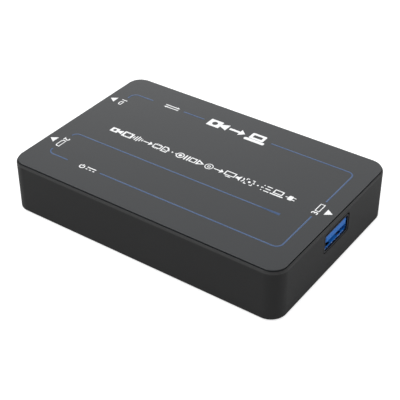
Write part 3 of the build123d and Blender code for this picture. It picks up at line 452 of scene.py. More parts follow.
# Cast clear resin with phosphor: warm and cloudy
LAMP_RESIN = Finish(
    "cast_phosphor_resin", "lamp_resin", "#e3dcae", "#f0eac6", roughness=0.35,
    patch_mm=0.4, grain_mm=0.08, grain_height_mm=0.001,
)
# Polished acrylic rod: clear, so the board shows through it
CLEAR_ACRYLIC = Finish(
    "polished_clear_acrylic", "clear_guide", "#f2f6f6", "#fafdfd", roughness=0.08,
    roughness_drift=0.02, patch_mm=2.0, grain_mm=0.3, grain_height_mm=0.0005, transmission=1.0,
)


def mesh_of(thing: bpy.types.Object) -> bpy.types.Mesh:
    """Return the evaluated shape of an object as a plain mesh."""
    evaluated = thing.evaluated_get(bpy.context.evaluated_depsgraph_get())
    return bpy.data.meshes.new_from_object(evaluated)


def shown(name: str, data: bpy.types.ID) -> bpy.types.Object:
    """Make an object of this data and link it to the scene.

    Args:
        name: Name of the object.
        data: Its mesh, curve, text, light or camera.

    Returns:
        The new object.
    """
    made = bpy.data.objects.new(name, data)
    bpy.context.scene.collection.objects.link(made)
    bpy.context.view_layer.update()
    return made


def finished(piece: bpy.types.Object, finish: Finish) -> bpy.types.Object:
    """Dress a new piece and let it ride on the box.

    Args:
        piece: Object with its place in its mesh.
        finish: What its surface is made of.

    Returns:
        The same object.
    """
    piece.data.materials.clear()
    piece.data.materials.append(finish.material())
    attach(piece, BODY)
    LOG.info("piece %s: %d faces, %s", piece.name, len(piece.data.polygons), finish.name)
    return piece


def dress_node(node: str, finish: Finish) -> None:
    """Give a CAD node its material.

    Args:
        node: Name of the node.
        finish: What its surface is made of.
    """
    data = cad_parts[node].data
    data.materials.clear()
    data.materials.append(finish.material())
    LOG.info("node %s: %s", node, finish.name)


def open_tree(
    name: str, kinds: dict[str, str]
) -> tuple[bpy.types.NodeTree, dict[str, str], bpy.types.NodeOutputs]:
    """Start a Geometry Nodes tree with named inputs.

    Args:
        name: Name of the tree.
        kinds: Kind of each input by its name.

    Returns:
        The tree, the identifiers of its inputs by name, and the sockets that they arrive at.
    """
    tree = bpy.data.node_groups.new(name, "GeometryNodeTree")
    face = tree.interface
    face.new_socket("Geometry", in_out="INPUT", socket_type="NodeSocketGeometry")
    names = {
        key: face.new_socket(key, in_out="INPUT", socket_type="NodeSocket" + kind).identifier
        for key, kind in kinds.items()
    }
    face.new_socket("Geometry", in_out="OUTPUT", socket_type="NodeSocketGeometry")
    return tree, names, add_node(tree, "NodeGroupInput").outputs


def close_tree(
    tree: bpy.types.NodeTree, shape: bpy.types.NodeSocket, ink: bpy.types.NodeSocket
) -> None:
    """End a Geometry Nodes tree with real geometry that has its material.

    Args:
        tree: Tree to end.
        shape: Geometry made so far.
        ink: Input that holds the material.
    """
    real = add_node(tree, "GeometryNodeRealizeInstances", links={"Geometry": shape})
    inked = add_node(
        tree, "GeometryNodeSetMaterial", links={"Geometry": real.outputs["Geometry"], "Material": ink}
    )
    add_node(tree, "NodeGroupOutput", links={"Geometry": inked.outputs["Geometry"]})


def grown_mesh(
    name: str,
    points: list[tuple[float, float, float]],
    edges: list[tuple[int, int]],
    tree: bpy.types.NodeTree,
    values: dict[str, object],
) -> bpy.types.Mesh:
    """Run a Geometry Nodes tree on bare points and edges.

    Args:
        name: Name of the draft.
        points: Places in metres.
        edges: Pairs of points that are joined.
        tree: Tree to run.
        values: Values of its inputs by identifier.

    Returns:
        What the tree makes, as a plain mesh.
    """
    paths = bpy.data.meshes.new(name)
    paths.from_pydata(points, edges, [])
    draft = shown(name, paths)
    maker = draft.modifiers.new(name, "NODES")
    maker.node_group = tree
    for key, value in values.items():
        maker[key] = value
    draft.update_tag()
    bpy.context.view_layer.update()
    made = mesh_of(draft)
    bpy.data.objects.remove(draft)
    return made


MERGE_MM = 0.0005
SHARP_ANGLE = math.radians(25.0)


def smooth_copy(node: str, name: str, finish: Finish) -> bpy.types.Object:
    """Merge a copy of a CAD node, smooth what is curved on it and let it stand for the node.

    Args:
        node: CAD node.
        name: Name of the new piece.
        finish: What its surface is made of.

    Returns:
        The new piece, which has the node's own shape.
    """
    work = bmesh.new()
    work.from_mesh(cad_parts[node].data)
    bmesh.ops.remove_doubles(work, verts=work.verts, dist=MERGE_MM * MM)
    for face in work.faces:
        face.smooth = True
    for edge in work.edges:
        edge.smooth = edge.is_manifold and edge.calc_face_angle(0.0) < SHARP_ANGLE
    mesh = bpy.data.meshes.new(name)
    work.to_mesh(mesh)
    work.free()
    old_normals = mesh.attributes.get("custom_normal")
    if old_normals is not None:
        mesh.attributes.remove(old_normals)
    draft = shown(name + "_draft", mesh)
    weighted = draft.modifiers.new("flat_faces_lead", "WEIGHTED_NORMAL")
    weighted.keep_sharp = True
    piece = shown(name, mesh_of(draft))
    bpy.data.objects.remove(draft)
    finished(piece, finish)
    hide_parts(node)
    return piece


@dataclass
class Case:
    """The moulded case: tray, cover, feet and the screws below."""

    tray_name: str = "case_tray"
    cover_name: str = "case_cover"
    feet_name: str = "case_feet"

    def build(self) -> None:
        """Smooth the curved mouldings and dress the screws."""
        smooth_copy("lower_case", self.tray_name, CASE_ABS)
        smooth_copy("top_cover", self.cover_name, COVER_ABS)
        smooth_copy("rubber_feet", self.feet_name, FOOT_RUBBER)
        for node in ("case_screws", "board_screws"):
            dress_node(node, BLACK_ZINC)


@dataclass
class Sockets:
    """The three sockets in the ends of the case."""

    video_sides: tuple[str, str] = ("video_in_socket", "video_out_socket")

    def build(self) -> None:
        """Dress shells, inserts and contacts."""
        for side in self.video_sides:
            smooth_copy(side + "_shell", side + "_sheet", NICKEL_SHEET)
            dress_node(side + "_body", BLACK_NYLON)
            dress_node(side + "_contacts", GOLD_FLASH)
        smooth_copy("data_socket_shell", "data_socket_sheet", BLACK_NICKEL)
        dress_node("data_socket_body", BLUE_PBT)
        dress_node("data_socket_spring_contacts", GOLD_FLASH)
        dress_node("data_socket_flat_contacts", GOLD_FLASH)


@dataclass
class Electronics:
    """The board inside and everything soldered to it."""

    finishes: tuple[tuple[str, Finish], ...] = (
        ("circuit_board", BOARD_MASK),
        ("capture_chip", CHIP_EPOXY),
        ("receiver_chip", CHIP_EPOXY),
        ("splitter_chip", CHIP_EPOXY),
        ("memory_chip", CHIP_EPOXY),
        ("flash_chip", CHIP_EPOXY),
        ("voltage_regulators", CHIP_EPOXY),
        ("surge_arrays", CHIP_EPOXY),
        ("receiver_chip_leads", TIN_PLATE),
        ("flash_chip_leads", TIN_PLATE),
        ("regulator_leads", TIN_PLATE),
        ("heat_sink_pad", SILICONE_PAD),
        ("heat_sink", ANODISED),
        ("power_coils", IRON_POWDER),
        ("crystals", STEEL_LID),
        ("can_capacitors", DRAWN_CAN),
        ("can_capacitor_bases", BLACK_NYLON),
        ("ceramic_capacitors", FIRED_CERAMIC),
        ("resistors", BLACK_GLAZE),
        ("link_lamp", LAMP_RESIN),
        ("power_lamp", LAMP_RESIN),
        ("link_light_guide", CLEAR_ACRYLIC),
        ("power_light_guide", CLEAR_ACRYLIC),
    )

    def build(self) -> None:
        """Dress each node of the board."""
        for node, finish in self.finishes:
            dress_node(node, finish)


def circle(x: float, y: float, radius: float, count: int = 28) -> Outline:
    """Closed ring of points on a circle, in millimetres."""
    steps = [2 * math.pi * index / count for index in range(count)]
    return [(x + radius * math.cos(angle), y + radius * math.sin(angle)) for angle in steps]


def rounded_box(
    x: float, y: float, width: float, height: float, corner: float = 0.0, count: int = 5
) -> Outline:
    """Outline of a rectangle about a middle, with round corners.

    Args:
        x: Middle along X, in millimetres.
        y: Middle along Y.
        width: Size along X.
        height: Size along Y.
        corner: Radius of the corners, or zero.
        count: Steps of each round corner.

    Returns:
        Points of the closed outline.
    """
    points = []
    for quarter, (side_x, side_y) in enumerate(((1, 1), (-1, 1), (-1, -1), (1, -1))):
        middle_x = x + side_x * (width / 2 - corner)
        middle_y = y + side_y * (height / 2 - corner)
        for step in range(count + 1 if corner > 0 else 1):
            angle = math.pi / 2 * (quarter + step / count)
            points.append((middle_x + corner * math.cos(angle), middle_y + corner * math.sin(angle)))
    return points


def box_frame(x: float, y: float, width: float, height: float, corner: float, stroke: float) -> Layer:
    """Outer and inner outline of a rounded frame whose stroke lies inside its size."""
    inner = rounded_box(x, y, width - 2 * stroke, height - 2 * stroke, max(corner - stroke, 0.0))
    return [rounded_box(x, y, width, height, corner), inner]


def pointer(x: float, y: float, width: float, height: float) -> Outline:
    """Triangle that points to +X, about its middle."""
    return [(x - width / 2, y - height / 2), (x + width / 2, y), (x - width / 2, y + height / 2)]


def arc_band(x: float, y: float, radius: float, stroke: float, opening: float, count: int = 24) -> Outline:
    """Open ring of even stroke, with a gap at its top.

    Args:
        x: Middle along X, in millimetres.
        y: Middle along Y.
        radius: Outer radius.
        stroke: Thickness of the ring.
        opening: Width of the gap, in radians.
        count: Steps round the ring.

    Returns:
        Points of the closed outline.
    """
    start = math.pi / 2 + opening / 2
    sweep = 2 * math.pi - opening
    angles = [start + sweep * index / count for index in range(count + 1)]
    outer = [(x + radius * math.cos(angle), y + radius * math.sin(angle)) for angle in angles]
    small = radius - stroke
    return outer + [(x + small * math.cos(angle), y + small * math.sin(angle)) for angle in reversed(angles)]


def socket_frame(x: float, y: float, width: float, height: float, stroke: float, cut: bool) -> Layer:
    """Outline of a socket's mouth as seen from the front.

    Args:
        x: Middle along X, in millimetres.
        y: Middle along Y.
        width: Width of the mouth.
        height: Its height.
        stroke: Thickness of the line.
        cut: Whether its lower corners are cut off.

    Returns:
        Outer and inner outline.
    """
    if not cut:
        return box_frame(x, y, width, height, stroke / 2, stroke)
    outlines, corner_share = [], 0.3
    for inset in (0.0, stroke):
        half, low, high = width / 2 - inset, y - height / 2 + inset, y + height / 2 - inset
        corner = min(width, height) * corner_share
        outlines.append([
            (x - half, high), (x - half, low + corner), (x - half + corner, low),
            (x + half - corner, low), (x + half, low + corner), (x + half, high),
        ])
    return outlines


@dataclass
class SignBook:
    """Draws the small signs about a middle at zero, in millimetres."""

    height: float = 2.75
    width: float = 4.2
    stroke: float = 0.36
    gap_width: float = 2.3

    def draw(self, sign: Sign) -> list[Layer]:
        """Return the layers of one sign; outlines in a layer cut holes in each other."""
        return getattr(self, sign.value)()

    def camera(self) -> list[Layer]:
        """Body with a round lens hole and the horn of its finder.

        Returns:
            The sign's layers.
        """
        neck, half_width, half_height = self.width * 0.14, self.width / 2, self.height * 0.4
        narrow, wide, lens_radius = half_height * 0.3, half_height * 0.9, half_height * 0.5
        outline = [
            (-half_width, -half_height), (neck, -half_height), (neck, -narrow), (half_width, -wide),
            (half_width, wide), (neck, narrow), (neck, half_height), (-half_width, half_height),
        ]
        return [[outline, circle((neck - half_width) / 2, 0, lens_radius)]]

    def arrow(self) -> list[Layer]:
        """Shaft with a head that points to +X.

        Returns:
            The sign's layers.
        """
        head = self.height * 0.42
        shaft, head_height = self.width * 0.8 - head, head * 1.7
        return [[rounded_box(-head / 2, 0, shaft, self.stroke)], [pointer(shaft / 2, 0, head, head_height)]]

    def film(self) -> list[Layer]:
        """Frame with rows of holes along both edges.

        Returns:
            The sign's layers.
        """
        width, window_width, hole, count = self.width * 0.86, self.width * 0.52, self.stroke * 0.8, 4
        pitch, reach, hole_height = width / count, self.height / 2 - hole, hole * 0.8
        outer = rounded_box(0, 0, width, self.height, self.stroke / 2)
        window = rounded_box(0, 0, window_width, self.height - 4 * hole)
        holes = [
            rounded_box((index - (count - 1) / 2) * pitch, side * reach, hole, hole_height)
            for index in range(count) for side in (-1, 1)
        ]
        return [[outer, window, *holes]]

    def chip(self) -> list[Layer]:
        """Square body with a square hole and legs on both sides.

        Returns:
            The sign's layers.
        """
        side, leg, count = self.height * 0.72, self.stroke * 0.7, 3
        width, pitch, reach = side * 1.5, side / count, (self.height - side) / 2
        legs = [
            [rounded_box((index - 1) * pitch, end * (side + reach) / 2, leg, reach)]
            for index in range(count) for end in (-1, 1)
        ]
        return [box_frame(0, 0, width, side, self.stroke / 2, self.stroke), *legs]

    def screen(self) -> list[Layer]:
        """Monitor on a stand.

        Returns:
            The sign's layers.
        """
        width, height, foot_width = self.width * 0.86, self.height * 0.76, self.width * 0.4
        top = box_frame(0, (self.height - height) / 2, width, height, self.stroke / 2, self.stroke)
        foot = rounded_box(0, -(self.height - self.stroke) / 2, foot_width, self.stroke)
        return [top, [foot]]

    def laptop(self) -> list[Layer]:
        """Open portable computer.

        Returns:
            The sign's layers.
        """
        width, height, thickness = self.width * 0.72, self.height * 0.7, self.stroke * 1.3
        corner = self.stroke / 2
        lid = box_frame(0, (self.height - height) / 2, width, height, corner, self.stroke)
        base = rounded_box(0, -(self.height - thickness) / 2, self.width, thickness, corner)
        return [lid, [base]]

    def card(self) -> list[Layer]:
        """Memory card with one corner cut and a label.

        Returns:
            The sign's layers.
        """
        outlines = []
        for inset in (0.0, self.stroke):
            half, top, corner = self.height * 0.4 - inset, self.height / 2 - inset, self.height * 0.25
            cut_corner = [(half, top - corner), (half - corner, top)]
            outlines.append([(-half, -top), (half, -top), *cut_corner, (-half, top)])
        label_y, label_width = -self.height * 0.12, self.height * 0.3
        return [outlines, [rounded_box(0.0, label_y, label_width, self.stroke)]]

    def speaker(self) -> list[Layer]:
        """Horn of a loudspeaker with one curved wave in front of it.

        Returns:
            The sign's layers.
        """
        half = self.height / 2
        neck_x, mouth_x, neck, mouth = -half * 0.45, half * 0.1, half * 0.35, half * 0.9
        horn = [
            (-half, -neck), (neck_x, -neck), (mouth_x, -mouth),
            (mouth_x, mouth), (neck_x, neck), (-half, neck),
        ]
        sweep, count = math.radians(50.0), 8
        angles = [sweep * (2 * step / count - 1) for step in range(count + 1)]
        wave = [(half * math.cos(angle), half * math.sin(angle)) for angle in angles]
        small = half - self.stroke
        wave += [(small * math.cos(angle), small * math.sin(angle)) for angle in reversed(angles)]
        return [[horn], [wave]]

    def focus(self) -> list[Layer]:
        """Four corner marks round a dot.

        Returns:
            The sign's layers.
        """
        edge, arm, dot_radius = self.height / 2, self.height * 0.2, self.height * 0.15
        inner = edge - self.stroke * 0.8
        mark = [(edge, edge), (arm, edge), (arm, inner), (inner, inner), (inner, arm), (edge, arm)]
        layers = [[circle(0, 0, dot_radius)]]
        for side_x, side_y in ((1, 1), (-1, 1), (-1, -1), (1, -1)):
            layers.append([[(side_x * x, side_y * y) for x, y in mark]])
        return layers

    def lines(self) -> list[Layer]:
        """Three lines, each with a dot before it.

        Returns:
            The sign's layers.
        """
        pitch, dot, bar = (self.height - self.stroke) / 2, self.stroke, self.height * 0.62
        rows = []
        for step in (-1, 0, 1):
            rows.append([rounded_box((dot - self.height) / 2, step * pitch, dot, self.stroke)])
            rows.append([rounded_box((self.height - bar) / 2, step * pitch, bar, self.stroke)])
        return rows

    def plug(self) -> list[Layer]:
        """Two-pin plug with its cord, lying on its side.

        Returns:
            The sign's layers.
        """
        half, body_height, pin = self.height / 2, self.height * 0.76, self.stroke * 0.8
        reach, length, spread = half * 0.85, half * 0.6, self.height * 0.2
        body = rounded_box(0.0, 0.0, half, body_height, self.stroke)
        pins = [[rounded_box(reach, side * spread, length, pin)] for side in (-1, 1)]
        cord = [rounded_box(-reach, 0.0, length, pin)]
        return [[body], *pins, cord]

    def record(self) -> list[Layer]:
        """Dot in a ring."""
        radius, dot = self.height / 2, self.height * 0.21
        return [[circle(0, 0, radius), circle(0, 0, radius - self.stroke)], [circle(0, 0, dot)]]

    def pause(self) -> list[Layer]:
        """Two upright bars."""
        bar, height = self.height * 0.18, self.height * 0.86
        return [[rounded_box(side * bar, 0, bar, height)] for side in (-1, 1)]

    def play(self) -> list[Layer]:
        """Open triangle that points to +X.

        Returns:
            The sign's layers.
        """
        width, height = self.height * 0.9, self.height * 0.96
        share = 1 - self.stroke * 4 / height
        hole = pointer(-width * (1 - share) / 6, 0, width * share, height * share)
        return [[pointer(0, 0, width, height), hole]]

    def stop(self) -> list[Layer]:
        """Square."""
        side = self.height * 0.8
        return [box_frame(0, 0, side, side, self.stroke / 3, self.stroke)]

    def disc(self) -> list[Layer]:
        """Round disc with a ring at its middle.

        Returns:
            The sign's layers.
        """
        radius, hub = self.height / 2, self.height * 0.2
        rim, hub_rim = self.stroke * 0.8, self.stroke * 0.7
        outer = [circle(0, 0, radius), circle(0, 0, radius - rim)]
        return [outer, [circle(0, 0, hub), circle(0, 0, hub - hub_rim)]]

    def wave(self) -> list[Layer]:
        """Upright bars of a level meter.

        Returns:
            The sign's layers.
        """
        shares, bar = (0.45, 0.8, 1.0, 0.65, 0.35), self.stroke
        pitch = self.width * 0.92 / len(shares)
        middle = (len(shares) - 1) / 2
        return [
            [rounded_box((index - middle) * pitch, 0, bar, self.height * share)]
            for index, share in enumerate(shares)
        ]


def width_of(layers: list[Layer]) -> float:
    """Width along X of a sign that is drawn about zero."""
    return 2 * max(abs(x) for layer in layers for outline in layer for x, y in outline)


SIGN_ROW = (
    Sign.CAMERA, Sign.FILM, Sign.WAVE, Sign.ARROW, Sign.CHIP, Sign.CARD, Sign.GAP, Sign.RECORD, Sign.PAUSE,
    Sign.STOP, Sign.PLAY, Sign.DISC, Sign.ARROW, Sign.SCREEN, Sign.SPEAKER, Sign.FOCUS, Sign.GAP, Sign.LINES,
    Sign.LAPTOP, Sign.PLUG,
)


@dataclass(frozen=True)
class SocketLabel:
    """A plain number and the outline of its socket's mouth, in one line across the cover, in millimetres."""

    number: str
    y: float
    length: float
    turn: Turn


@dataclass
class Printing:
    """Thin raised ink on the cover: blue lines, arrow heads, small signs, a bold sign and a row of signs.

    Sizes and places are in millimetres, on the part's own axes.
    """

    ink_height: float = 0.02
    ink_sunk: float = 0.01
    line_width: float = 0.46
    line_end_width: float = 0.9
    line_end_length: float = 5.8
    corner_radius: float = 2.0
    corner_steps: int = 10
    left_inset: float = 5.95
    right_inset: float = 5.45
    back_inset: float = 9.55
    front_inset: float = 9.2
    middle_line_y: float = -8.3
    middle_line_end: float = 32.86
    left_corner_reach: float = 7.7
    back_corner_drop: float = 3.25
    front_corner_rise: float = 2.3
    link_line: Point = (-20.1, -12.3)
    right_line_start: float = 12.2
    right_gap: Point = (3.9, -4.05)
    front_line_start: float = -19.95
    middle_line_drop: float = 1.75
    label_height: float = 1.9
    link_x: float = -24.7
    link_width: float = 5.4
    power_x: float = -24.6
    emblem_size: Point = (21.0, 4.6)
    emblem_place: Point = (0.1, 20.5)
    row_y: float = -0.125
    row_ends: Point = (-32.45, 32.9)
    arrow_size: Point = (2.1, 2.8)
    left_arrow_inset: float = 2.4
    right_arrow_inset: float = 2.15
    left_arrow_places: Point = (14.26, -14.55)
    right_arrow_place: float = -0.175
    labels: tuple[SocketLabel, ...] = (
        SocketLabel("1", y=14.3, length=3.5, turn=Turn.LEFT_SIDE),
        SocketLabel("2", y=-14.55, length=5.0, turn=Turn.LEFT_SIDE),
        SocketLabel("3", y=-0.1, length=5.15, turn=Turn.RIGHT_SIDE),
    )

    def __post_init__(self) -> None:
        """Work out the printed frame from the cover's own box."""
        low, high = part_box("top_cover")
        self.top = high.z / MM
        self.left, self.right = low.x / MM + self.left_inset, high.x / MM - self.right_inset
        self.back, self.front = high.y / MM - self.back_inset, low.y / MM + self.front_inset
        self.half_length = high.x / MM
        self.thickness = self.ink_height + self.ink_sunk
        self.level = self.top + (self.ink_height - self.ink_sunk) / 2

    def build(self) -> None:
        """Print everything."""
        self.build_lines()
        self.build_arrow_heads()
        self.build_small_signs()
        self.build_emblem()
        self.build_row()

    def flat_mesh(
        self, name: str, layers: list[Layer], turn: float = 0.0, place: Point = (0.0, 0.0)
    ) -> bpy.types.Mesh:
        """Fill outlines and give them the thickness of the ink.

        Args:
            name: Name of the mesh.
            layers: Groups of closed outlines; within a group an inner outline is a hole.
            turn: Turn about Z, in radians.
            place: Where the outlines' zero goes on the cover, in millimetres.

        Returns:
            One closed mesh in metres, at its place on the cover.
        """
        work = bmesh.new()
        for layer in layers:
            curve = bpy.data.curves.new(name, "CURVE")
            curve.dimensions, curve.fill_mode = "2D", "BOTH"
            curve.extrude = self.thickness / 2
            for outline in layer:
                spline = curve.splines.new("POLY")
                spline.points.add(len(outline) - 1)
                for point, (x, y) in zip(spline.points, outline):
                    point.co = (x, y, 0.0, 1.0)
                spline.use_cyclic_u = True
            self.take(work, curve)
        return self.placed(work, name, turn, place)

    def take(self, work: bmesh.types.BMesh, curve: bpy.types.Curve) -> None:
        """Add the filled shape of a curve to a mesh in the making.

        Args:
            work: Mesh in the making.
            curve: Flat curve or text.
        """
        draft = shown("ink_draft", curve)
        made = mesh_of(draft)
        work.from_mesh(made)
        bpy.data.objects.remove(draft)
        bpy.data.meshes.remove(made)

    def placed(self, work: bmesh.types.BMesh, name: str, turn: float, place: Point) -> bpy.types.Mesh:
        """Close a mesh in the making and move it to its place on the cover.

        Args:
            work: Mesh in the making, in millimetres about zero.
            name: Name of the mesh.
            turn: Turn about Z, in radians.
            place: Where its zero goes on the cover, in millimetres.

        Returns:
            The finished mesh in metres.
        """
        bmesh.ops.remove_doubles(work, verts=work.verts, dist=MERGE_MM)
        bmesh.ops.recalc_face_normals(work, faces=work.faces)
        move = Matrix.Translation(Vector((place[0], place[1], self.level)) * MM)
        work.transform(move @ Matrix.Rotation(turn, 4, "Z") @ Matrix.Scale(MM, 4))
        mesh = bpy.data.meshes.new(name)
        work.to_mesh(mesh)
        work.free()
        return mesh

    def line_tree(self) -> tuple[bpy.types.NodeTree, dict[str, str]]:
        """Build the tree that turns the edges of a mesh into printed lines with round corners.

        Returns:
            The tree, and the identifiers of its inputs by name.
        """
        kinds = {"Corner radius": "Float", "Line width": "Float", "Ink thickness": "Float", "Ink": "Material"}
        tree, names, given = open_tree("printed_line", kinds)
        path = add_node(tree, "GeometryNodeMeshToCurve", links={"Mesh": given["Geometry"]})
        rounded = add_node(
            tree, "GeometryNodeFilletCurve", {"Count": self.corner_steps, "Limit Radius": True},
            {"Curve": path.outputs["Curve"], "Radius": given["Corner radius"]}, mode="POLY",
        )
        upright = add_node(
            tree, "GeometryNodeSetCurveNormal", links={"Curve": rounded.outputs["Curve"]}, mode="Z_UP"
        )
        profile = add_node(
            tree, "GeometryNodeCurvePrimitiveQuadrilateral",
            links={"Width": given["Line width"], "Height": given["Ink thickness"]},
        )
        ribbon = add_node(
            tree, "GeometryNodeCurveToMesh", {"Fill Caps": True},
            {"Curve": upright.outputs["Curve"], "Profile Curve": profile.outputs["Curve"]},
        )
        close_tree(tree, ribbon.outputs["Mesh"], given["Ink"])
        return tree, names

    def build_lines(self) -> None:
        """Print the broken blue frame and the line across it, whose end is wider."""
        corner_x = self.left + self.left_corner_reach
        middle_start = self.middle_line_y - self.middle_line_drop
        left, right, back, front = self.left, self.right, self.back, self.front
        runs = [
            [(left, back - self.back_corner_drop), (left, back), (corner_x, back)],
            [(self.link_line[0], back), (self.link_line[1], back)],
            [(self.right_line_start, back), (right, back), (right, self.right_gap[0])],
            [(right, self.right_gap[1]), (right, front), (self.front_line_start, front)],
            [(corner_x, front), (left, front), (left, front + self.front_corner_rise)],
            [(left, middle_start), (left, self.middle_line_y), (self.middle_line_end, self.middle_line_y)],
        ]
        points, edges = [], []
        for run in runs:
            edges += [(len(points) + step, len(points) + step + 1) for step in range(len(run) - 1)]
            points += [(x * MM, y * MM, self.level * MM) for x, y in run]
        tree, names = self.line_tree()
        lines = grown_mesh("printed_line_paths", points, edges, tree, {
            names["Corner radius"]: self.corner_radius * MM,
            names["Line width"]: self.line_width * MM,
            names["Ink thickness"]: self.thickness * MM,
            names["Ink"]: BLUE_INK.material(),
        })
        finished(shown("printed_blue_lines", lines), BLUE_INK)
        start, end = self.middle_line_end - self.line_end_length, self.middle_line_end
        taper = [
            (start, -self.line_width / 2), (end, -self.line_end_width / 2),
            (end, self.line_end_width / 2), (start, self.line_width / 2),
        ]
        wide_end = self.flat_mesh("printed_line_end", [[taper]], place=(0.0, self.middle_line_y))
        finished(shown("printed_line_end", wide_end), BLUE_INK)

    def build_arrow_heads(self) -> None:
        """Print the three arrow heads that point to the sockets."""
        width, height = self.arrow_size
        x = self.half_length - self.left_arrow_inset
        heads = [[pointer(self.half_length - self.right_arrow_inset, self.right_arrow_place, width, height)]]
        for y in self.left_arrow_places:
            heads.append([[(-point_x, y - point_y) for point_x, point_y in pointer(x, 0.0, width, height)]])
        finished(shown("printed_arrow_heads", self.flat_mesh("printed_arrow_heads", heads)), WHITE_INK)

    def build_small_signs(self) -> None:
        """Print the numbers by the sockets, and the signs by the two lamps."""
        for label in self.labels:
            self.build_number(label)
        stroke, head, y = self.label_height * 0.2, self.label_height * 0.5, self.label_height * 0.28
        head_height, shaft = head * 1.1, self.link_width - head
        there = [[rounded_box(-head / 2, y, shaft, stroke)], [pointer(shaft / 2, y, head, head_height)]]
        back = [[[(-spot_x, -spot_y) for spot_x, spot_y in outline] for outline in layer] for layer in there]
        both = self.flat_mesh("printed_link_sign", there + back, place=(self.link_x, self.back))
        finished(shown("printed_link_sign", both), WHITE_INK)
        radius, opening = self.label_height / 2, math.radians(70.0)
        switch_x, bars_x, bars_width = -1.9, 1.3, 3.2
        dash = bars_width / 5
        power = [
            [arc_band(switch_x, -stroke / 3, radius, stroke, opening)],
            [rounded_box(switch_x, radius / 2, stroke, radius)],
            [rounded_box(bars_x, radius / 2, bars_width, stroke)],
        ]
        power += [[rounded_box(bars_x + 2 * dash * step, -radius / 2, dash, stroke)] for step in (-1, 0, 1)]
        mesh = self.flat_mesh("printed_power_sign", power, place=(self.power_x, self.front))
        finished(shown("printed_power_sign", mesh), WHITE_INK)

    def build_number(self, label: SocketLabel) -> None:
        """Print a plain number and the outline of the socket that it stands for.

        Args:
            label: The digit, the length of both together and the side that they are read from.
        """
        capital_share, swell, gap, stroke = 0.7, 0.05, 0.35, 0.27
        digit_width, tallest, mouth_share = 0.55 * self.label_height, self.label_height * 0.8, 0.6
        text = bpy.data.curves.new("number", "FONT")
        text.body = label.number
        text.align_x, text.align_y = "CENTER", "CENTER"
        text.size = self.label_height / capital_share
        text.offset = swell
        text.extrude = self.thickness / 2
        place = (self.right if label.turn is Turn.RIGHT_SIDE else self.left, label.y)
        angle = label.turn.value * math.pi / 2
        aside = (digit_width - label.length) / 2
        along = Vector((math.cos(angle), math.sin(angle)))
        work = bmesh.new()
        self.take(work, text)
        name = "printed_number_" + label.number
        digit = self.placed(work, name, angle, (place[0] + aside * along.x, place[1] + aside * along.y))
        width = label.length - digit_width - gap
        height = min(width * mouth_share, tallest)
        middle, cut = (label.length - width) / 2, label.turn is Turn.LEFT_SIDE
        outline = socket_frame(middle, 0.0, width, height, stroke, cut)
        edge = self.flat_mesh(name + "_socket", [outline], angle, place)
        both = bmesh.new()
        both.from_mesh(digit)
        both.from_mesh(edge)
        mesh = bpy.data.meshes.new(name)
        both.to_mesh(mesh)
        both.free()
        finished(shown(name, mesh), WHITE_INK)

    def print_signs(
        self, name: str, signs: tuple[Sign, ...], book: SignBook, ends: Point, y: float
    ) -> list[float]:
        """Print signs from one end to the other, evenly spaced like writing.

        Args:
            name: Name of the piece.
            signs: The signs in order.
            book: Draws them at their size.
            ends: Both ends of the row along X.
            y: Where the row lies.

        Returns:
            Middles of the gaps left in the row.
        """
        drawn = [[] if sign is Sign.GAP else book.draw(sign) for sign in signs]
        widths = [width_of(layers) if layers else book.gap_width for layers in drawn]
        space = (ends[1] - ends[0] - sum(widths)) / (len(widths) - 1)
        layers, gaps, edge = [], [], ends[0]
        for sign_layers, width in zip(drawn, widths):
            middle = edge + width / 2
            edge += width + space
            if not sign_layers:
                gaps.append(middle)
            for layer in sign_layers:
                layers.append([[(middle + x, point_y) for x, point_y in outline] for outline in layer])
        finished(shown(name, self.flat_mesh(name, layers, place=(0.0, y))), WHITE_INK)
        return gaps

    def build_emblem(self) -> None:
        """Print the bold sign: a camera, an arrow and a portable computer."""
        width, height = self.emblem_size
        x, y = self.emblem_place
        signs, stroke = (Sign.CAMERA, Sign.ARROW, Sign.LAPTOP), height * 0.21
        ends = (x - width / 2, x + width / 2)
        self.print_signs("printed_bold_sign", signs, SignBook(height, width / len(signs), stroke), ends, y)

    def build_row(self) -> None:
        """Print the row of small signs along the middle, with rows of dots in its gaps."""
        book = SignBook()
        gaps = self.print_signs("printed_sign_row", SIGN_ROW, book, self.row_ends, self.row_y)
        self.build_dots(gaps, book)

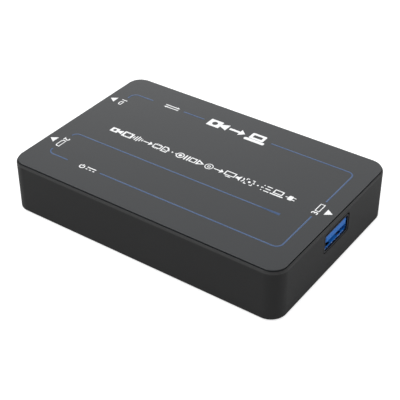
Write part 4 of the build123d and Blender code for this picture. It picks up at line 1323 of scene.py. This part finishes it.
    def build_dots(self, gaps: list[float], book: SignBook) -> None:
        """Print three dots in each gap of the row with a small Geometry Nodes tree.

        Args:
            gaps: Middles of the gaps along X.
            book: Sizes of the signs beside them.
        """
        sides, count, spacing, radius = 20, 3, book.width / 3, book.stroke * 0.8
        tree, names, given = open_tree("printed_dots", {
            "Dots": "Int", "Spacing": "Vector", "Dot radius": "Float", "Ink thickness": "Float",
            "Ink": "Material",
        })
        dot = add_node(
            tree, "GeometryNodeMeshCylinder", {"Vertices": sides},
            {"Radius": given["Dot radius"], "Depth": given["Ink thickness"]},
        )
        line = add_node(
            tree, "GeometryNodeMeshLine", links={"Count": given["Dots"], "Offset": given["Spacing"]}
        )
        starts = add_node(
            tree, "GeometryNodeInstanceOnPoints",
            links={"Points": given["Geometry"], "Instance": line.outputs["Mesh"]},
        )
        places = add_node(
            tree, "GeometryNodeRealizeInstances", links={"Geometry": starts.outputs["Instances"]}
        )
        dots = add_node(
            tree, "GeometryNodeInstanceOnPoints",
            links={"Points": places.outputs["Geometry"], "Instance": dot.outputs["Mesh"]},
        )
        close_tree(tree, dots.outputs["Instances"], given["Ink"])
        first = [Vector((x - spacing, self.row_y, self.level)) * MM for x in gaps]
        dots_made = grown_mesh("printed_dot_places", first, [], tree, {
            names["Dots"]: count,
            names["Spacing"]: (spacing * MM, 0.0, 0.0),
            names["Dot radius"]: radius * MM,
            names["Ink thickness"]: self.thickness * MM,
            names["Ink"]: WHITE_INK.material(),
        })
        finished(shown("printed_row_dots", dots_made), WHITE_INK)


@dataclass(frozen=True)
class Softbox:
    """A square softbox, in metres.

    Its share is how bright it alone makes white paper that faces it, where 1 is full white.
    """

    name: str
    place: tuple[float, float, float]
    size: float
    share: float


@dataclass
class Studio:
    """Pale floor, soft lights, white surroundings and the camera of the photograph.

    Sizes are in metres and angles in degrees, apart from the values whose names say millimetres.
    """

    floor_half: float = 0.8
    floor_drop_mm: float = 0.05
    floor_glow: float = 0.7
    floor_colour: str = "#bcbcbc"
    floor_roughness: float = 0.9
    world_light: float = 0.35
    world_colour: str = "#f4f7fb"
    softboxes: tuple[Softbox, ...] = (
        Softbox("overhead_softbox", (0.1, -0.2, 1.4), size=1.0, share=0.45),
        Softbox("left_front_softbox", (-0.75, -0.85, 0.95), size=1.0, share=0.52),
        Softbox("right_back_softbox", (0.9, 1.0, 0.75), size=1.0, share=0.32),
        Softbox("low_back_softbox", (-0.88, 1.26, 0.4), size=0.8, share=0.06),
    )
    azimuth: float = 35.11
    elevation: float = 35.886
    roll: float = -0.105
    eye_mm: tuple[float, float, float] = (145.12, -205.7, 185.49)
    lens_mm: float = 93.3
    sensor_mm: float = 36.0

    def build(self) -> None:
        """Set up everything round the box."""
        self.build_floor()
        self.build_world()
        for softbox in self.softboxes:
            self.build_light(softbox)
        self.build_camera()
        bpy.context.scene.view_settings.view_transform = "Standard"

    def mirrored(self, tree: bpy.types.NodeTree) -> bpy.types.NodeSocket:
        """Tell the rays that see the white room from those that light the box.

        Args:
            tree: Tree of the world.

        Returns:
            A socket that is one for camera, glossy and transmission rays.
        """
        path = add_node(tree, "ShaderNodeLightPath").outputs
        first = add_node(
            tree, "ShaderNodeMath", links={0: path["Is Camera Ray"], 1: path["Is Glossy Ray"]},
            operation="MAXIMUM",
        )
        both = add_node(
            tree, "ShaderNodeMath", links={0: first.outputs[0], 1: path["Is Transmission Ray"]},
            operation="MAXIMUM",
        )
        return both.outputs[0]

    def build_floor(self) -> None:
        """Lay the pale floor, which shows white but keeps the shadow.

        Its glow is for the camera alone, because the case's sides would mirror it and turn grey.
        """
        half, low = self.floor_half, -self.floor_drop_mm * MM
        mesh = bpy.data.meshes.new("floor")
        corners = [(-half, -half, low), (half, -half, low), (half, half, low), (-half, half, low)]
        mesh.from_pydata(corners, [], [(0, 1, 2, 3)])
        floor = shown("floor", mesh)
        made = bpy.data.materials.new("white_painted_board")
        made.use_nodes = True
        tree = made.node_tree
        shader = tree.nodes["Principled BSDF"]
        shader.inputs["Base Color"].default_value = linear(self.floor_colour)
        shader.inputs["Roughness"].default_value = self.floor_roughness
        glow = add_node(tree, "ShaderNodeEmission", {"Color": linear(WHITE), "Strength": self.floor_glow})
        dark = add_node(tree, "ShaderNodeEmission", {"Strength": 0.0})
        seen = add_node(tree, "ShaderNodeLightPath").outputs["Is Camera Ray"]
        lift = add_node(
            tree, "ShaderNodeMixShader",
            links={0: seen, 1: dark.outputs["Emission"], 2: glow.outputs["Emission"]},
        )
        both = add_node(
            tree, "ShaderNodeAddShader", links={0: shader.outputs["BSDF"], 1: lift.outputs["Shader"]}
        )
        tree.links.new(both.outputs["Shader"], tree.nodes["Material Output"].inputs["Surface"])
        mesh.materials.append(made)

    def build_world(self) -> None:
        """Surround the box with even white light."""
        world = bpy.data.worlds.new("white_room")
        world.use_nodes = True
        bpy.context.scene.world = world
        tree = world.node_tree
        white = tree.nodes["Background"]
        white.inputs["Color"].default_value = linear(WHITE)
        white.inputs["Strength"].default_value = 1.0
        light = add_node(
            tree, "ShaderNodeBackground",
            {"Color": linear(self.world_colour), "Strength": self.world_light},
        )
        mixed = add_node(
            tree, "ShaderNodeMixShader",
            links={0: self.mirrored(tree), 1: light.outputs["Background"], 2: white.outputs["Background"]},
        )
        tree.links.new(mixed.outputs["Shader"], tree.nodes["World Output"].inputs["Surface"])

    def build_light(self, softbox: Softbox) -> None:
        """Hang one softbox so that it points at the box.

        Args:
            softbox: Its name, place, size and brightness.
        """
        place = Vector(softbox.place)
        data = bpy.data.lights.new(softbox.name, "AREA")
        data.size, data.energy = softbox.size, softbox.share * (math.pi * place.length) ** 2
        light = shown(softbox.name, data)
        light.location = place
        light.rotation_euler = (-place).to_track_quat("-Z", "Y").to_euler()

    def build_camera(self) -> None:
        """Place the camera as it was fitted to the edges of the case in the photograph."""
        a, e, r = (math.radians(value) for value in (self.azimuth, self.elevation, self.roll))
        back = Vector((math.sin(a) * math.cos(e), -math.cos(a) * math.cos(e), math.sin(e)))
        level = Vector((math.cos(a), math.sin(a), 0.0))
        upright = back.cross(level)
        right = level * math.cos(r) + upright * math.sin(r)
        up = upright * math.cos(r) - level * math.sin(r)
        data = bpy.data.cameras.new("camera")
        data.lens, data.sensor_width = self.lens_mm, self.sensor_mm
        camera = shown("camera", data)
        turn = Matrix((right, up, back)).transposed().to_4x4()
        camera.matrix_world = Matrix.Translation(Vector(self.eye_mm) * MM) @ turn
        bpy.context.scene.camera = camera


def main() -> None:
    """Build the box piece by piece."""
    logging.basicConfig(level=logging.INFO, format="%(name)s: %(message)s")
    for part in (Case(), Sockets(), Electronics(), Printing(), Studio()):
        LOG.info("building %s", type(part).__name__)
        part.build()


if __name__ == "__main__":
    main()
